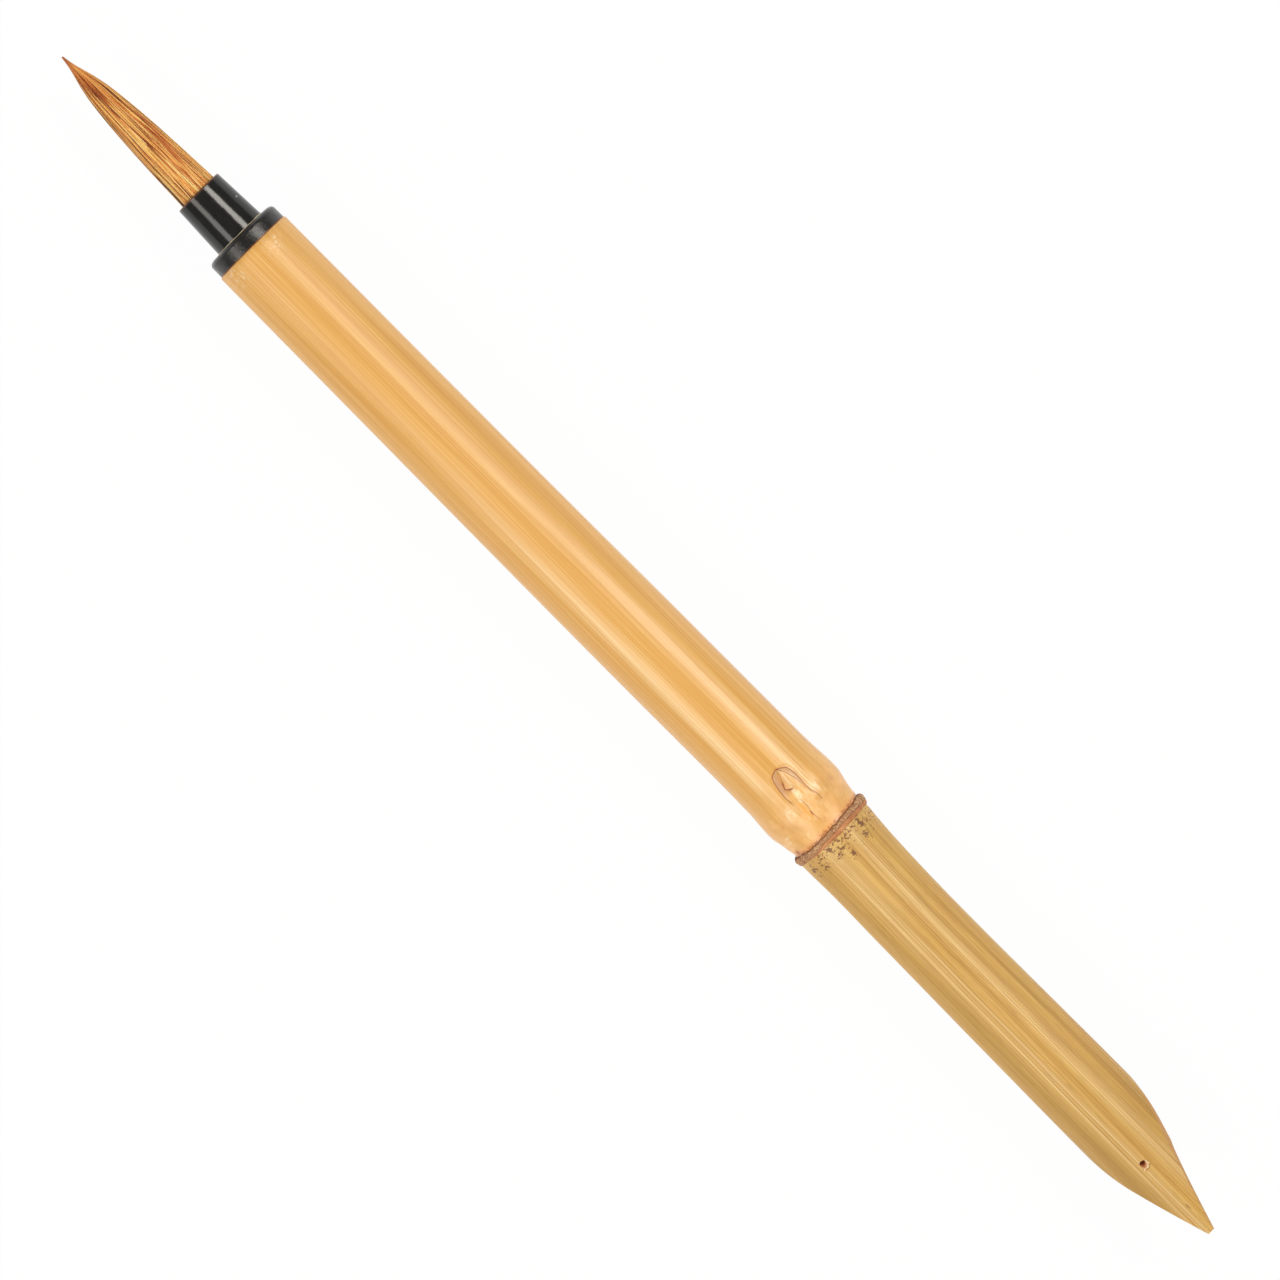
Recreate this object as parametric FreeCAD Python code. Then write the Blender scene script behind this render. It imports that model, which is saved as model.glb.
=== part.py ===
"""Bamboo calligraphy brush with a reed pen cut in the other end of the same cane.

Frame, in millimetres: the origin is the middle of the collar's front face, on the axis of the handle.
+X runs along the handle to the point of the pen, -X to the tip of the hair, and +Z is up, on the side of
the cane that carries the bud and the tongue of the pen.
"""

import FreeCAD, Part

import math
import os
from FreeCAD import Vector

# ---------------------------------------------------------------- cane: places along X
cane_start = 2.6          # where the cane begins, behind the collar's rim
ridge_x = 116.6           # crest of the swelling above the node
ridge_to_ring = 6.1       # to the middle of the sheath ring
ridge_to_diaphragm = 4.4  # to the middle of the wall that closes the cane at the node
pen_tip_x = 203.4         # writing edge of the pen

# cane: radii
cane_radius = 6.56        # at the collar
upper_growth = 0.22       # how much thicker the upper internode is by the node
ridge_height = 0.33       # swelling above the end of the upper internode
swell_length = 8.5        # over which it rises
neck_depth = 0.44         # the neck between swelling and ring, below the upper internode
foot_flare = 0.2          # how far the lower internode stands over the neck, at the ring
foot_length = 17.5        # over which its foot runs out into the waist
lower_loss = 0.42         # how much thinner the waist is than the cane at the collar
pen_growth = 0.23         # how much the lower internode thickens again towards the pen
end_bevel = 0.2           # the broken edge at the collar

# cane: sideways course of its middle line (+Y). It steps aside at the node.
upper_bow = -0.08
node_offset = 0.07
pen_offset = -0.6

# cane: hollows
upper_hollow_radius = 2.7
lower_hollow_radius = 3.55
diaphragm_thickness = 2.4
hollow_dome = 3.0         # how far each hollow rounds off before the diaphragm
dome_share = 0.45         # to this share of its radius

# pen
nib_roll = 9.5            # degrees that the tongue is turned about X, from the top towards -Y
nib_half_angle = 17.3     # degrees between each flank and the axis
nib_half_width = 0.6      # half of the writing edge
flank_round = 24.0        # radius that leads from the barrel into each flank
scoop_back = 15.4         # from the writing edge to where the scoop has flattened out
scoop_end_height = 0.9    # height of the scoop's floor there, above the cane's middle
scoop_radius = 40.0
scoop_steep = 35.0        # degrees at which the scoop leaves the barrel
scoop_flat = 3.0          # degrees at which it runs out to the point
thinning_length = 23.4    # of the tongue, over which its underside is pared towards the point
tip_thickness = 0.9       # of the tongue at the writing edge
vent_back = 14.0          # from the writing edge to the vent
vent_shift = -0.4         # sideways from the middle of the tongue
vent_radius = 0.5
vent_lean = 28.0          # degrees that the vent runs back towards the barrel as it goes down
slit_width = 0.08
past_tip = 1.0            # how far the pen's cuts run out past the writing edge

# sheath ring, the dry foot of the leaf sheath that stays on the node
ring_width = 2.2
ring_height = 0.58        # how far its lip stands above the neck
ring_back = 0.25          # how far its back stands above the lower internode
ring_bed = 0.35           # how deep it is rooted in the cane
ring_tilt = 1.5           # degrees that it leans in the plane of X and Y

# dormant bud, lying in its groove above the node with its point towards the collar
bud_reach = 6.0           # from the ridge to the bud's point
bud_length = 9.6
bud_half_width = 1.75
bud_roll = 3.7            # degrees that it is turned about X, from the top towards +Y
bud_depth = 0.7           # of its belly under the skin of the cane
bud_crown = 0.22          # of its back above the skin
bud_groove = 0.08         # gap round it
bud_tip_inset = 0.5       # from the outer scale's point to the inner one's
bud_tip_length = 3.4
bud_tip_half_width = 0.75
bud_tip_depth = 0.25
bud_tip_crown = 0.4

keel_share = 0.45         # a leaf scale has two keels, this share of its half width from its middle

# A bud scale's outline: share of its length from the point, share of its half width, share of its crown.
scale_shape = [(0, 0.2, 0.2), (0.1, 0.68, 0.7), (0.35, 1.0, 1.0), (0.7, 0.8, 0.6), (1, 0.2, 0.0)]

# collar, a turned ring with a spigot that is glued into the reamed end of the cane
collar_step = 0.19        # how far the collar stands inside the cane
collar_edge = 0.85        # its front edge is turned off over this width, in two bevels
collar_crown = 0.3        # share of that width at which the steep bevel meets the other
recess_depth = 0.3        # of the seat that the ferrule's foot stands in
spigot_radius = 4.9
spigot_length = 10.0
spigot_chamfer = 0.4
spigot_clearance = 0.05
ream_extra = 0.5          # the reamed bore is this much deeper than the spigot is long

# ferrule, a tapered cup on a peg
ferrule_length = 8.7
ferrule_wall = 0.58       # of the cup, at its mouth
ferrule_taper = 0.35      # how much thicker the foot is, in radius
ferrule_edge = 0.2        # bevel of its mouth
cup_floor = 1.4           # thickness of the wall between cup and peg
peg_radius = 3.3
peg_length = 9.0
peg_chamfer = 0.4
peg_clearance = 0.05
bead_width = 0.2          # glue that fills the seat round the ferrule's foot
bead_height = 0.16        # and stands proud of the collar

# hair
tuft_length = 28.1        # hair that shows
tuft_radius = 3.18        # at the ferrule's mouth
tuft_tip_radius = 0.15
cup_gap = 0.22            # between the hair and the cup
core_radius = 1.6
core_tip_radius = 0.3
core_even = 11.0          # the stiff core is even this far past the mouth
core_taper = 7.5          # and tapers over this length
reserve_radius = 2.45
reserve_reach = 6.0       # of the short hair round the core, past the mouth
reserve_taper = 4.0       # over which it thins out there
resin_thickness = 0.9     # plug that holds the butt of the hair in the cup
binding_length = 2.6
thread_thickness = 0.32   # of the thread wound round the root
thread_bevel = 0.12
binding_gap = 0.04        # between the binding and the cup

# The tuft's outline: share of its length from the tip, and share of its radius.
tuft_fullness = [(0.13, 0.30), (0.31, 0.60), (0.60, 0.84), (1, 1)]

# ---------------------------------------------------------------- worked out from these
along = Vector(1, 0, 0)
origin = Vector(0, 0, 0)
mouth_x = -ferrule_length
cup_radius = tuft_radius + cup_gap
ferrule_mouth_radius = cup_radius + ferrule_wall
ferrule_foot_radius = ferrule_mouth_radius + ferrule_taper
collar_radius = cane_radius - collar_step
cup_floor_x = -cup_floor
seat_radius = ferrule_foot_radius + bead_width
butt_x = cup_floor_x - resin_thickness
bound_radius = cup_radius - binding_gap - thread_thickness
upper_end_radius = cane_radius + upper_growth
neck_radius = upper_end_radius - neck_depth
foot_radius = neck_radius + foot_flare
waist_radius = cane_radius - lower_loss
pen_radius = waist_radius + pen_growth
ring_x = ridge_x + ridge_to_ring
ring_start = ring_x - ring_width / 2
ring_end = ring_x + ring_width / 2
swell_x = ridge_x - swell_length
bud_start_x = ridge_x - bud_reach
diaphragm_start = ridge_x + ridge_to_diaphragm - diaphragm_thickness / 2
diaphragm_end = diaphragm_start + diaphragm_thickness
foot_x = ring_end + foot_length
scoop_end_x = pen_tip_x - scoop_back
vent_x = pen_tip_x - vent_back


def between(a, b, share):
    """The value that lies at this share of the way from a to b."""
    return a + (b - a) * share


# ---------------------------------------------------------------- turned and lofted solids
def ring_of(x, y, radius):
    """A circle square to X, as a wire."""
    return Part.Wire(Part.Circle(Vector(x, y, 0), along, radius).toShape())


def through_rings(stations):
    """A solid that runs straight from circle to circle: (x, sideways offset, radius)."""
    return Part.makeLoft([ring_of(*station) for station in stations], True, True)


def rod(x0, x1, r0, r1=None):
    """A straight round bar along X, tapered if a second radius is given."""
    if r1 is None:
        return Part.makeCylinder(r0, x1 - x0, Vector(x0, 0, 0), along)
    return through_rings([(x0, 0, r0), (x1, 0, r1)])


def turned(points, y=0.0):
    """A solid turned about a line along X at sideways offset y, from its outline of (x, radius)."""
    corners = [Vector(points[0][0], y, 0)]
    corners += [Vector(x, y, radius) for x, radius in points]
    corners += [Vector(points[-1][0], y, 0)]
    return Part.Face(Part.Wire(loop(corners))).revolve(Vector(0, y, 0), along, 360)


def loop(corners):
    """Straight edges from corner to corner and back to the first."""
    return chain(corners + corners[:1])


def chain(corners):
    """Straight edges from corner to corner."""
    return [Part.LineSegment(a, b).toShape() for a, b in zip(corners, corners[1:])]


def edges_at(solid, x, radius):
    """The edges of a solid that make the circle at x with this radius, about the X axis."""
    found = []
    for edge in solid.Edges:
        flat = edge.BoundBox.XLength < 1e-3 and abs(edge.BoundBox.XMin - x) < 1e-3
        if flat and all(abs(math.hypot(p.y, p.z) - radius) < 1e-3 for p in edge.discretize(9)):
            found.append(edge)
    return found


def bevelled(solid, x, radius, size):
    """The solid with the circular edge at x and radius bevelled."""
    return solid.makeChamfer(size, edges_at(solid, x, radius))


# ---------------------------------------------------------------- hair
def tuft():
    """The hair that shows, from its tip to the mouth of the ferrule."""
    tip = (mouth_x - tuft_length, 0, tuft_tip_radius)
    rest = [(mouth_x - tuft_length * (1 - share), 0, tuft_radius * width) for share, width in tuft_fullness]
    return through_rings([tip] + rest)


def hair_core():
    """Stiff hair in the middle, which carries the spring of the brush."""
    shoulder = mouth_x - core_even
    taper = rod(shoulder - core_taper, shoulder, core_tip_radius, core_radius)
    return taper.fuse(rod(shoulder, butt_x, core_radius))


def reserve_envelope():
    """The space inside the mantle round the root of the core."""
    tip = mouth_x - reserve_reach
    taper = rod(tip, tip + reserve_taper, core_radius, reserve_radius)
    return taper.fuse(rod(tip + reserve_taper, butt_x, reserve_radius))


def hair_reserve():
    """Short hair round the root of the core, which holds the ink."""
    return reserve_envelope().cut(hair_core())


def hair_mantle():
    """The outer hair that makes the point, down to its bound root in the cup."""
    root_start = butt_x - binding_length
    root = rod(mouth_x, root_start, tuft_radius)
    bound = rod(root_start, butt_x, bound_radius)
    return tuft().fuse([root, bound]).cut([reserve_envelope(), hair_core()])


def root_binding():
    """Thread wound round the root of the hair, as a band."""
    start, outer = butt_x - binding_length, bound_radius + thread_thickness
    band = bevelled(rod(start, butt_x, outer), start, outer, thread_bevel)
    return band.cut(rod(start, butt_x, bound_radius))


def root_resin():
    """The plug of resin that the butt of the hair stands in."""
    return rod(butt_x, cup_floor_x, cup_radius)


# ---------------------------------------------------------------- ferrule and collar
def ferrule_radius_at(x):
    """The ferrule's outer radius at x, on its taper."""
    return between(ferrule_foot_radius, ferrule_mouth_radius, -x / ferrule_length)


def ferrule_envelope():
    """The outside of the ferrule: its taper, and the foot that stands in the collar."""
    bevel_end = mouth_x + ferrule_edge
    edge = ferrule_radius_at(bevel_end)
    taper = [(mouth_x, 0, edge - ferrule_edge), (bevel_end, 0, edge), (0, 0, ferrule_foot_radius)]
    return through_rings(taper).fuse(rod(0, recess_depth, ferrule_foot_radius))


def ferrule():
    """A tapered cup for the hair, on a peg that goes into the collar."""
    end = recess_depth + peg_length
    peg = bevelled(rod(recess_depth, end, peg_radius), end, peg_radius, peg_chamfer)
    return ferrule_envelope().fuse(peg).cut(rod(mouth_x, cup_floor_x, cup_radius))


def glue_bead():
    """The glue that fills the seat round the ferrule's foot and is pressed out in a pale line."""
    outline = [
        (-bead_height, ferrule_radius_at(-bead_height)),
        (-0.6 * bead_height, ferrule_foot_radius + 0.6 * bead_width),
        (0, seat_radius),
        (recess_depth, seat_radius),
    ]
    return turned(outline).cut(ferrule_envelope())


def collar():
    """A turned ring that caps the cane, with its spigot and the bore for the ferrule's peg."""
    crown = collar_crown * collar_edge
    front = (0, collar_radius - collar_edge)
    corner = (crown, collar_radius - crown)
    rim = turned([front, corner, (collar_edge, collar_radius), (cane_start, collar_radius)])
    end = cane_start + spigot_length
    spigot = bevelled(rod(cane_start, end, spigot_radius), end, spigot_radius, spigot_chamfer)
    bore = rod(0, end, peg_radius + peg_clearance)
    seat = rod(0, recess_depth, seat_radius)
    return rim.fuse(spigot).cut([bore, seat])


# ---------------------------------------------------------------- cane
def cane_stations():
    """The cane's middle line and thickness, from the collar to the pen: (x, sideways offset, radius)."""
    flare = foot_radius - waist_radius
    stations = [
        (cane_start, 0.0, cane_radius),
        (between(cane_start, swell_x, 0.45), upper_bow, between(cane_radius, upper_end_radius, 0.45)),
        (between(cane_start, swell_x, 0.8), 0.0, upper_end_radius + 0.02),
        (swell_x, node_offset, upper_end_radius),
    ]
    for share, rise in ((0.4, 0.14), (0.65, 0.45), (0.85, 0.83), (1.0, 1.0)):
        radius = upper_end_radius + rise * ridge_height
        stations.append((between(swell_x, ridge_x, share), node_offset, radius))
    for share, fall in ((0.12, 0.1), (0.3, 0.42), (0.55, 0.78), (0.8, 0.95), (1.0, 1.0)):
        radius = between(upper_end_radius + ridge_height, neck_radius, fall)
        stations.append((between(ridge_x, ring_start, share), between(node_offset, 0, share), radius))
    for share, rest, aside in ((0, 1, 0.25), (0.14, 0.66, 0.33), (0.33, 0.27, 0.5), (0.6, 0.08, 0.7)):
        stations.append((between(ring_end, foot_x, share), aside * pen_offset, waist_radius + rest * flare))
    stations += [
        (foot_x, 0.88 * pen_offset, waist_radius),
        (between(foot_x, pen_tip_x, 0.3), pen_offset, between(waist_radius, pen_radius, 0.5)),
        (between(foot_x, pen_tip_x, 0.6), pen_offset, pen_radius),
        (pen_tip_x, pen_offset, pen_radius),
    ]
    return stations


def skin_radius(x):
    """The cane's radius at x."""
    stations = cane_stations()
    for (x0, _, r0), (x1, _, r1) in zip(stations, stations[1:]):
        if x0 <= x <= x1:
            return between(r0, r1, (x - x0) / (x1 - x0))
    return pen_radius


def upper_hollow():
    """The hollow between the collar and the node, with the reamed bore for the spigot."""
    reamed = rod(cane_start, cane_start + spigot_length + ream_extra, spigot_radius + spigot_clearance)
    dome_x = diaphragm_start - hollow_dome
    natural = rod(cane_start, dome_x, upper_hollow_radius)
    dome = rod(dome_x, diaphragm_start, upper_hollow_radius, dome_share * upper_hollow_radius)
    return [reamed, natural.fuse(dome)]


def lower_hollow():
    """The hollow behind the pen, which flares under the tongue so that the tongue thins to its edge."""
    dome_x = diaphragm_end + hollow_dome
    flare_x = pen_tip_x - thinning_length
    dome = rod(diaphragm_end, dome_x, dome_share * lower_hollow_radius, lower_hollow_radius)
    natural = rod(dome_x, flare_x, lower_hollow_radius)
    flare = rod(flare_x, pen_tip_x, lower_hollow_radius, pen_radius - tip_thickness)
    hollow = natural.fuse([dome, flare])
    hollow.translate(Vector(0, pen_offset, 0))
    return hollow


def on_pen(shape):
    """Carries a cutter made about the X axis to the middle line of the pen, turned with the tongue."""
    shape.rotate(origin, along, nib_roll)
    shape.translate(Vector(0, pen_offset, 0))
    return shape


def scoop():
    """What is cut from below: a curved scoop into the barrel that flattens out under the tongue."""
    reach = 2 * pen_radius
    flat, steep = math.radians(scoop_flat), math.radians(scoop_steep)
    end = Vector(scoop_end_x, -reach, scoop_end_height)
    centre = end + Vector(math.sin(flat), 0, -math.cos(flat)) * scoop_radius

    def on_arc(angle):
        return centre + Vector(-math.sin(angle), 0, math.cos(angle)) * scoop_radius

    start = on_arc(steep)
    beyond = pen_tip_x + past_tip
    tip = Vector(beyond, -reach, scoop_end_height + (beyond - scoop_end_x) * math.tan(flat))
    below = Vector(start.x - reach / math.tan(steep), -reach, start.z - reach)
    corners = [end, tip, Vector(beyond, -reach, below.z), below, start]
    edges = [Part.Arc(start, on_arc((steep + flat) / 2), end).toShape()] + chain(corners)
    return on_pen(Part.Face(Part.Wire(edges)).extrude(Vector(0, 2 * reach, 0)))


def flank(side):
    """What is cut from one side, so that the tongue narrows to the writing edge."""
    reach = 2 * pen_radius
    half = math.radians(nib_half_angle)
    slope = math.tan(half)
    corner_x = pen_tip_x - (pen_radius - nib_half_width) / slope
    lead = flank_round * math.tan(half / 2)
    begin = Vector(corner_x - lead, pen_radius, -reach)
    finish = Vector(corner_x + lead * math.cos(half), pen_radius - lead * math.sin(half), -reach)
    centre = begin - Vector(0, flank_round, 0)
    middle = centre + Vector(math.sin(half / 2), math.cos(half / 2), 0) * flank_round
    beyond = pen_tip_x + past_tip
    tip = Vector(beyond, nib_half_width - slope, -reach)
    corners = [finish, tip, Vector(beyond, reach, -reach), Vector(begin.x, reach, -reach), begin]
    edges = [Part.Arc(begin, middle, finish).toShape()] + chain(corners)
    cutter = Part.Face(Part.Wire(edges)).extrude(Vector(0, 0, 2 * reach))
    if side < 0:
        cutter = cutter.mirror(origin, Vector(0, 1, 0))
    return on_pen(cutter)


def vent_and_slit():
    """The hole through the tongue and the slit that leads the ink from it to the point."""
    lean = math.radians(vent_lean)
    down = Vector(-math.sin(lean), 0, -math.cos(lean))
    mouth = Vector(vent_x, vent_shift, pen_radius)
    hole = Part.makeCylinder(vent_radius, 2 * pen_radius, mouth - down * pen_radius, down)
    slit = Part.makeBox(vent_back + past_tip, slit_width, 2 * pen_radius, Vector(0, -slit_width / 2, 0))
    slit.rotate(origin, Vector(0, 0, 1), math.degrees(math.atan2(-vent_shift, vent_back)))
    slit.translate(Vector(vent_x, vent_shift, 0))
    return on_pen(hole.fuse(slit))


def scale_section(x, half_width, crown, depth):
    """A leaf scale's section across the cane at x: a back with two keels, and a belly under the skin."""
    radius = skin_radius(x)
    side = math.sqrt(radius**2 - half_width**2)
    keel = keel_share * half_width
    left, right = Vector(x, -half_width, side), Vector(x, half_width, side)
    back = [Vector(x, -keel, radius + crown), Vector(x, keel, radius + crown)]
    belly = [Vector(x, keel, radius - depth), Vector(x, -keel, radius - depth)]
    return Part.Wire(loop([left] + back + [right] + belly))


def leaf_scale(start, length, half_width, crown, depth):
    """A pointed scale along the top of the cane, turned to the bud's place."""
    sections = [
        scale_section(start + share * length, width * half_width, rise * crown, max(rise, 0.5) * depth)
        for share, width, rise in scale_shape
    ]
    scale = Part.makeLoft(sections, True, True)
    scale.rotate(origin, along, -bud_roll)
    scale.translate(Vector(0, node_offset, 0))
    return scale


def bud_scale(gap=0.0):
    """The outer scale of the dormant bud; with a gap it is the bed that the cane has for it."""
    start, length = bud_start_x - gap, bud_length + 2 * gap
    return leaf_scale(start, length, bud_half_width + gap, bud_crown, bud_depth + gap)


def bud_tip():
    """The inner scale, whose point shows on top of the outer one."""
    start = bud_start_x + bud_tip_inset
    return leaf_scale(start, bud_tip_length, bud_tip_half_width, bud_tip_crown, bud_tip_depth)


def sheath_ring():
    """The dry foot of the leaf sheath: a lip that is steep towards the bud and slopes to the pen."""
    crest = neck_radius + ring_height
    outline = [
        (ring_start, crest - 0.2),
        (ring_start + 0.2, crest),
        (ring_start + 0.4 * ring_width, crest - 0.03),
        (ring_end - 0.2, foot_radius + ring_back),
        (ring_end, foot_radius + 0.04),
    ]
    ring = turned(outline).cut(rod(ring_start, ring_end, neck_radius - ring_bed))
    ring.rotate(Vector(ring_x, 0, 0), Vector(0, 0, 1), ring_tilt)
    return ring


def bamboo_cane(seated):
    """The cane, handle and pen in one, with the beds of the pieces that are seated in it."""
    cane = bevelled(through_rings(cane_stations()), cane_start, cane_radius, end_bevel)
    cutters = upper_hollow() + [lower_hollow(), scoop(), flank(1), flank(-1), vent_and_slit()]
    for cutter in cutters + seated:
        cane = cane.cut(cutter)
    return cane


def main():
    scale, tip, ring = bud_scale(), bud_tip(), sheath_ring()
    nodes = {
        "hair_mantle": hair_mantle(),
        "hair_reserve": hair_reserve(),
        "hair_core": hair_core(),
        "root_binding": root_binding(),
        "root_resin": root_resin(),
        "ferrule": ferrule(),
        "glue_bead": glue_bead(),
        "collar": collar(),
        "bamboo_cane": bamboo_cane([bud_scale(bud_groove), ring]),
        "sheath_ring": ring,
        "bud_scale": scale.cut(tip),
        "bud_tip": tip,
    }
    os.makedirs("parts", exist_ok=True)
    for name, shape in nodes.items():
        print(name, len(shape.Solids), "solid", shape.isValid(), round(shape.Volume, 2), "mm3")
        shape.exportStep(f"parts/{name}.step")


main()
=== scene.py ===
import math

import bmesh
import bpy
import numpy as np
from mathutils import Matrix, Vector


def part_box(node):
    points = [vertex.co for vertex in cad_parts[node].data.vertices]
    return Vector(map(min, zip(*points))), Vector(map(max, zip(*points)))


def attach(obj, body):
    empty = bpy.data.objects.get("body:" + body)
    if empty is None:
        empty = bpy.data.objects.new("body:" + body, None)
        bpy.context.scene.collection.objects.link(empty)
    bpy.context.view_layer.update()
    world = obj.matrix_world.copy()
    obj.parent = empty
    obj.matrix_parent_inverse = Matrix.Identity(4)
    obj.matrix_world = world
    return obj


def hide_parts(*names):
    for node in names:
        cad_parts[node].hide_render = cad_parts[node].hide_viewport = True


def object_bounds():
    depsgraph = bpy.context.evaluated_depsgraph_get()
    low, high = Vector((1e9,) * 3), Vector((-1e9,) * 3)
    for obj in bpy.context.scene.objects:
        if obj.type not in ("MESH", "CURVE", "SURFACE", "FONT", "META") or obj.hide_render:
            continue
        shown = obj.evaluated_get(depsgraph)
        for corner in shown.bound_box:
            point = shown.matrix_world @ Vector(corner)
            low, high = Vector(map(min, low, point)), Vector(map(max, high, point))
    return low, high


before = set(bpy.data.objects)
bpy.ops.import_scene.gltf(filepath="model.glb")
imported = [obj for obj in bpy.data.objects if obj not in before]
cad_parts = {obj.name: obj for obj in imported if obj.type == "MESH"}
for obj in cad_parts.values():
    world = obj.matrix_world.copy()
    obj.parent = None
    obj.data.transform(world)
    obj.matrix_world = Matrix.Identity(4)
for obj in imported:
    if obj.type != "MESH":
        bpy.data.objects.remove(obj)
cadBox = [list(corner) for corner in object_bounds()]
mm = 0.001
body = "root"
print("frame loaded with", len(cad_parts), "pieces")


def boxOf(node):  # lowest and highest corner of a CAD piece, in millimetres
    return [[float(value) / mm for value in corner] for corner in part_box(node)]


caneLow, caneHigh = boxOf("bamboo_cane")
ringLow, ringHigh = boxOf("sheath_ring")
budLow = boxOf("bud_scale")[0]
collarHigh = boxOf("collar")[1]
ferruleLow, ferruleHigh = boxOf("ferrule")
tuftLow, tuftHigh = boxOf("hair_mantle")
ringX = (ringLow[0] + ringHigh[0]) / 2
mouthX = ferruleLow[0]
tipX = tuftLow[0]
penTipX = caneHigh[0]


def smoothCurve(points, where):
    # a cubic through (place, value) points; each slope is the harmonic mean of the two beside it
    x, y = np.array(points, float).T
    step = np.diff(x)
    rise = np.diff(y) / step
    slope = np.zeros_like(y)
    same = rise[1:] * rise[:-1] > 0
    safe = np.where(rise == 0, 1, rise)
    slope[1:-1] = np.where(same, 2 / (1 / safe[1:] + 1 / safe[:-1]), 0)
    slope[0], slope[-1] = rise[0], rise[-1]
    where = np.clip(where, x[0], x[-1])
    i = np.clip(np.searchsorted(x, where) - 1, 0, len(step) - 1)
    t = (where - x[i]) / step[i]
    curve = (1 + 2 * t) * (1 - t) ** 2 * y[i] + t * t * (3 - 2 * t) * y[i + 1]
    return curve + step[i] * (t * (1 - t) ** 2 * slope[i] - t * t * (1 - t) * slope[i + 1])


def softStep(low, high, value):  # 0 below low, 1 above high, and a smooth rise between
    t = np.clip((value - low) / (high - low), 0, 1)
    return t * t * (3 - 2 * t)


def bell(value, width):  # 1 at nought, falling away over width
    return np.exp(-(value / width) ** 2)


def spots(rows, along, across):
    # sum of soft spots, each by its strength, place along, place across and its reach both ways
    return sum(share * bell(np.hypot((along - a) / reachAlong, (across - b) / reachAcross), 1)
               for share, a, b, reachAlong, reachAcross in rows)


def ripples(seed, count, pitch, turns, x, angle):
    # sum of cosines of x and angle; whole numbers of turns make each close round the piece
    dice = np.random.default_rng(seed)
    total = np.zeros(np.broadcast(x, angle).shape)
    for _ in range(count):
        total += np.cos(dice.normal(0, 1 / pitch) * x + dice.integers(-turns, turns + 1) * angle
                        + dice.uniform(0, 2 * math.pi))
    return total / math.sqrt(count / 2)


def fromLine(line, p, q):  # distance of each (p, q) from a line drawn straight from point to point
    nearest = np.full(np.shape(p), 1e9)
    for (p0, q0), (p1, q1) in zip(line, line[1:]):
        dp, dq = p1 - p0, q1 - q0
        share = np.clip(((p - p0) * dp + (q - q0) * dq) / (dp * dp + dq * dq), 0, 1)
        nearest = np.minimum(nearest, np.hypot(p - p0 - share * dp, q - q0 - share * dq))
    return nearest


def densely(ends, steps):  # places from end to end, with its own step in each stretch
    runs = [np.arange(a, b, step) for a, b, step in zip(ends, ends[1:], steps)]
    return np.concatenate(runs + [ends[-1:]])


def fullTurn(count):  # angles of a closed round
    return np.arange(count) * 2 * math.pi / count


def polar(x, radius, angle, middle=0.0):  # points (x, middle + radius cos angle, radius sin angle)
    y, z = middle + radius * np.cos(angle), radius * np.sin(angle)
    return np.stack(np.broadcast_arrays(x, y, z), -1)


def turned(outline, around, middle=0.0):  # a closed round for each (x, radius) of the outline
    x, radius = np.array(outline, float).T[..., None]
    return polar(x, radius, fullTurn(around), middle)


def pushOut(rounds, rise, angle):
    rounds[..., 1] += rise * np.cos(angle)
    rounds[..., 2] += rise * np.sin(angle)


def between(near, far):  # four-cornered faces that join closed rounds of point numbers
    return np.stack([near, np.roll(near, -1, -1), np.roll(far, -1, -1), far], -1).reshape(-1, 4)


def meshOf(name, points, quads, fans=()):
    mesh = bpy.data.meshes.new(name)
    corners = np.concatenate([np.ravel(quads), np.ravel(fans)]).astype(np.int32)
    sizes = np.repeat([4, 3], [len(quads), len(fans)])
    mesh.vertices.add(len(points))
    mesh.vertices.foreach_set("co", (points * mm).astype(np.float32).ravel())
    mesh.loops.add(len(corners))
    mesh.loops.foreach_set("vertex_index", corners)
    mesh.polygons.add(len(sizes))
    mesh.polygons.foreach_set("loop_start", (np.cumsum(sizes) - sizes).astype(np.int32))
    mesh.polygons.foreach_set("use_smooth", np.ones(len(sizes), bool))
    mesh.update(calc_edges=True)
    mesh.validate()
    return mesh


def tube(name, rounds, joined=False):
    # rounds[i] is a closed round of points. The rounds are joined in order, and the first and last
    # are closed with a point in their middle, or joined to each other.
    count, around, _ = rounds.shape
    index = np.arange(count * around).reshape(count, around)
    points = rounds.reshape(-1, 3)
    if joined:
        return meshOf(name, points, between(index, np.roll(index, -1, 0)))
    points = np.vstack([points, rounds[0].mean(0), rounds[-1].mean(0)])
    first, last = np.full(around, len(points) - 2), np.full(around, len(points) - 1)
    fans = np.concatenate([np.stack([np.roll(index[0], -1), index[0], first], -1),
                           np.stack([index[-1], np.roll(index[-1], -1), last], -1)])
    return meshOf(name, points, between(index[:-1], index[1:]), fans)


def paint(mesh, name, values):
    vector = np.ndim(values) == 2
    layer = mesh.attributes.new(name, "FLOAT_VECTOR" if vector else "FLOAT", "POINT")
    layer.data.foreach_set("vector" if vector else "value", np.asarray(values, np.float32).ravel())


def pointsOf(mesh):
    flat = np.zeros(len(mesh.vertices) * 3, np.float32)
    mesh.vertices.foreach_get("co", flat)
    return flat.reshape(-1, 3).astype(float) / mm


def setPoints(mesh, points):
    mesh.vertices.foreach_set("co", (points * mm).astype(np.float32).ravel())
    mesh.update()


def outward(mesh):  # faces turned to point out of the mesh
    work = bmesh.new()
    work.from_mesh(mesh)
    bmesh.ops.recalc_face_normals(work, faces=work.faces)
    work.to_mesh(mesh)
    work.free()
    return mesh


def linked(name, data):
    made = bpy.data.objects.new(name, data)
    bpy.context.scene.collection.objects.link(made)
    return made


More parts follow.
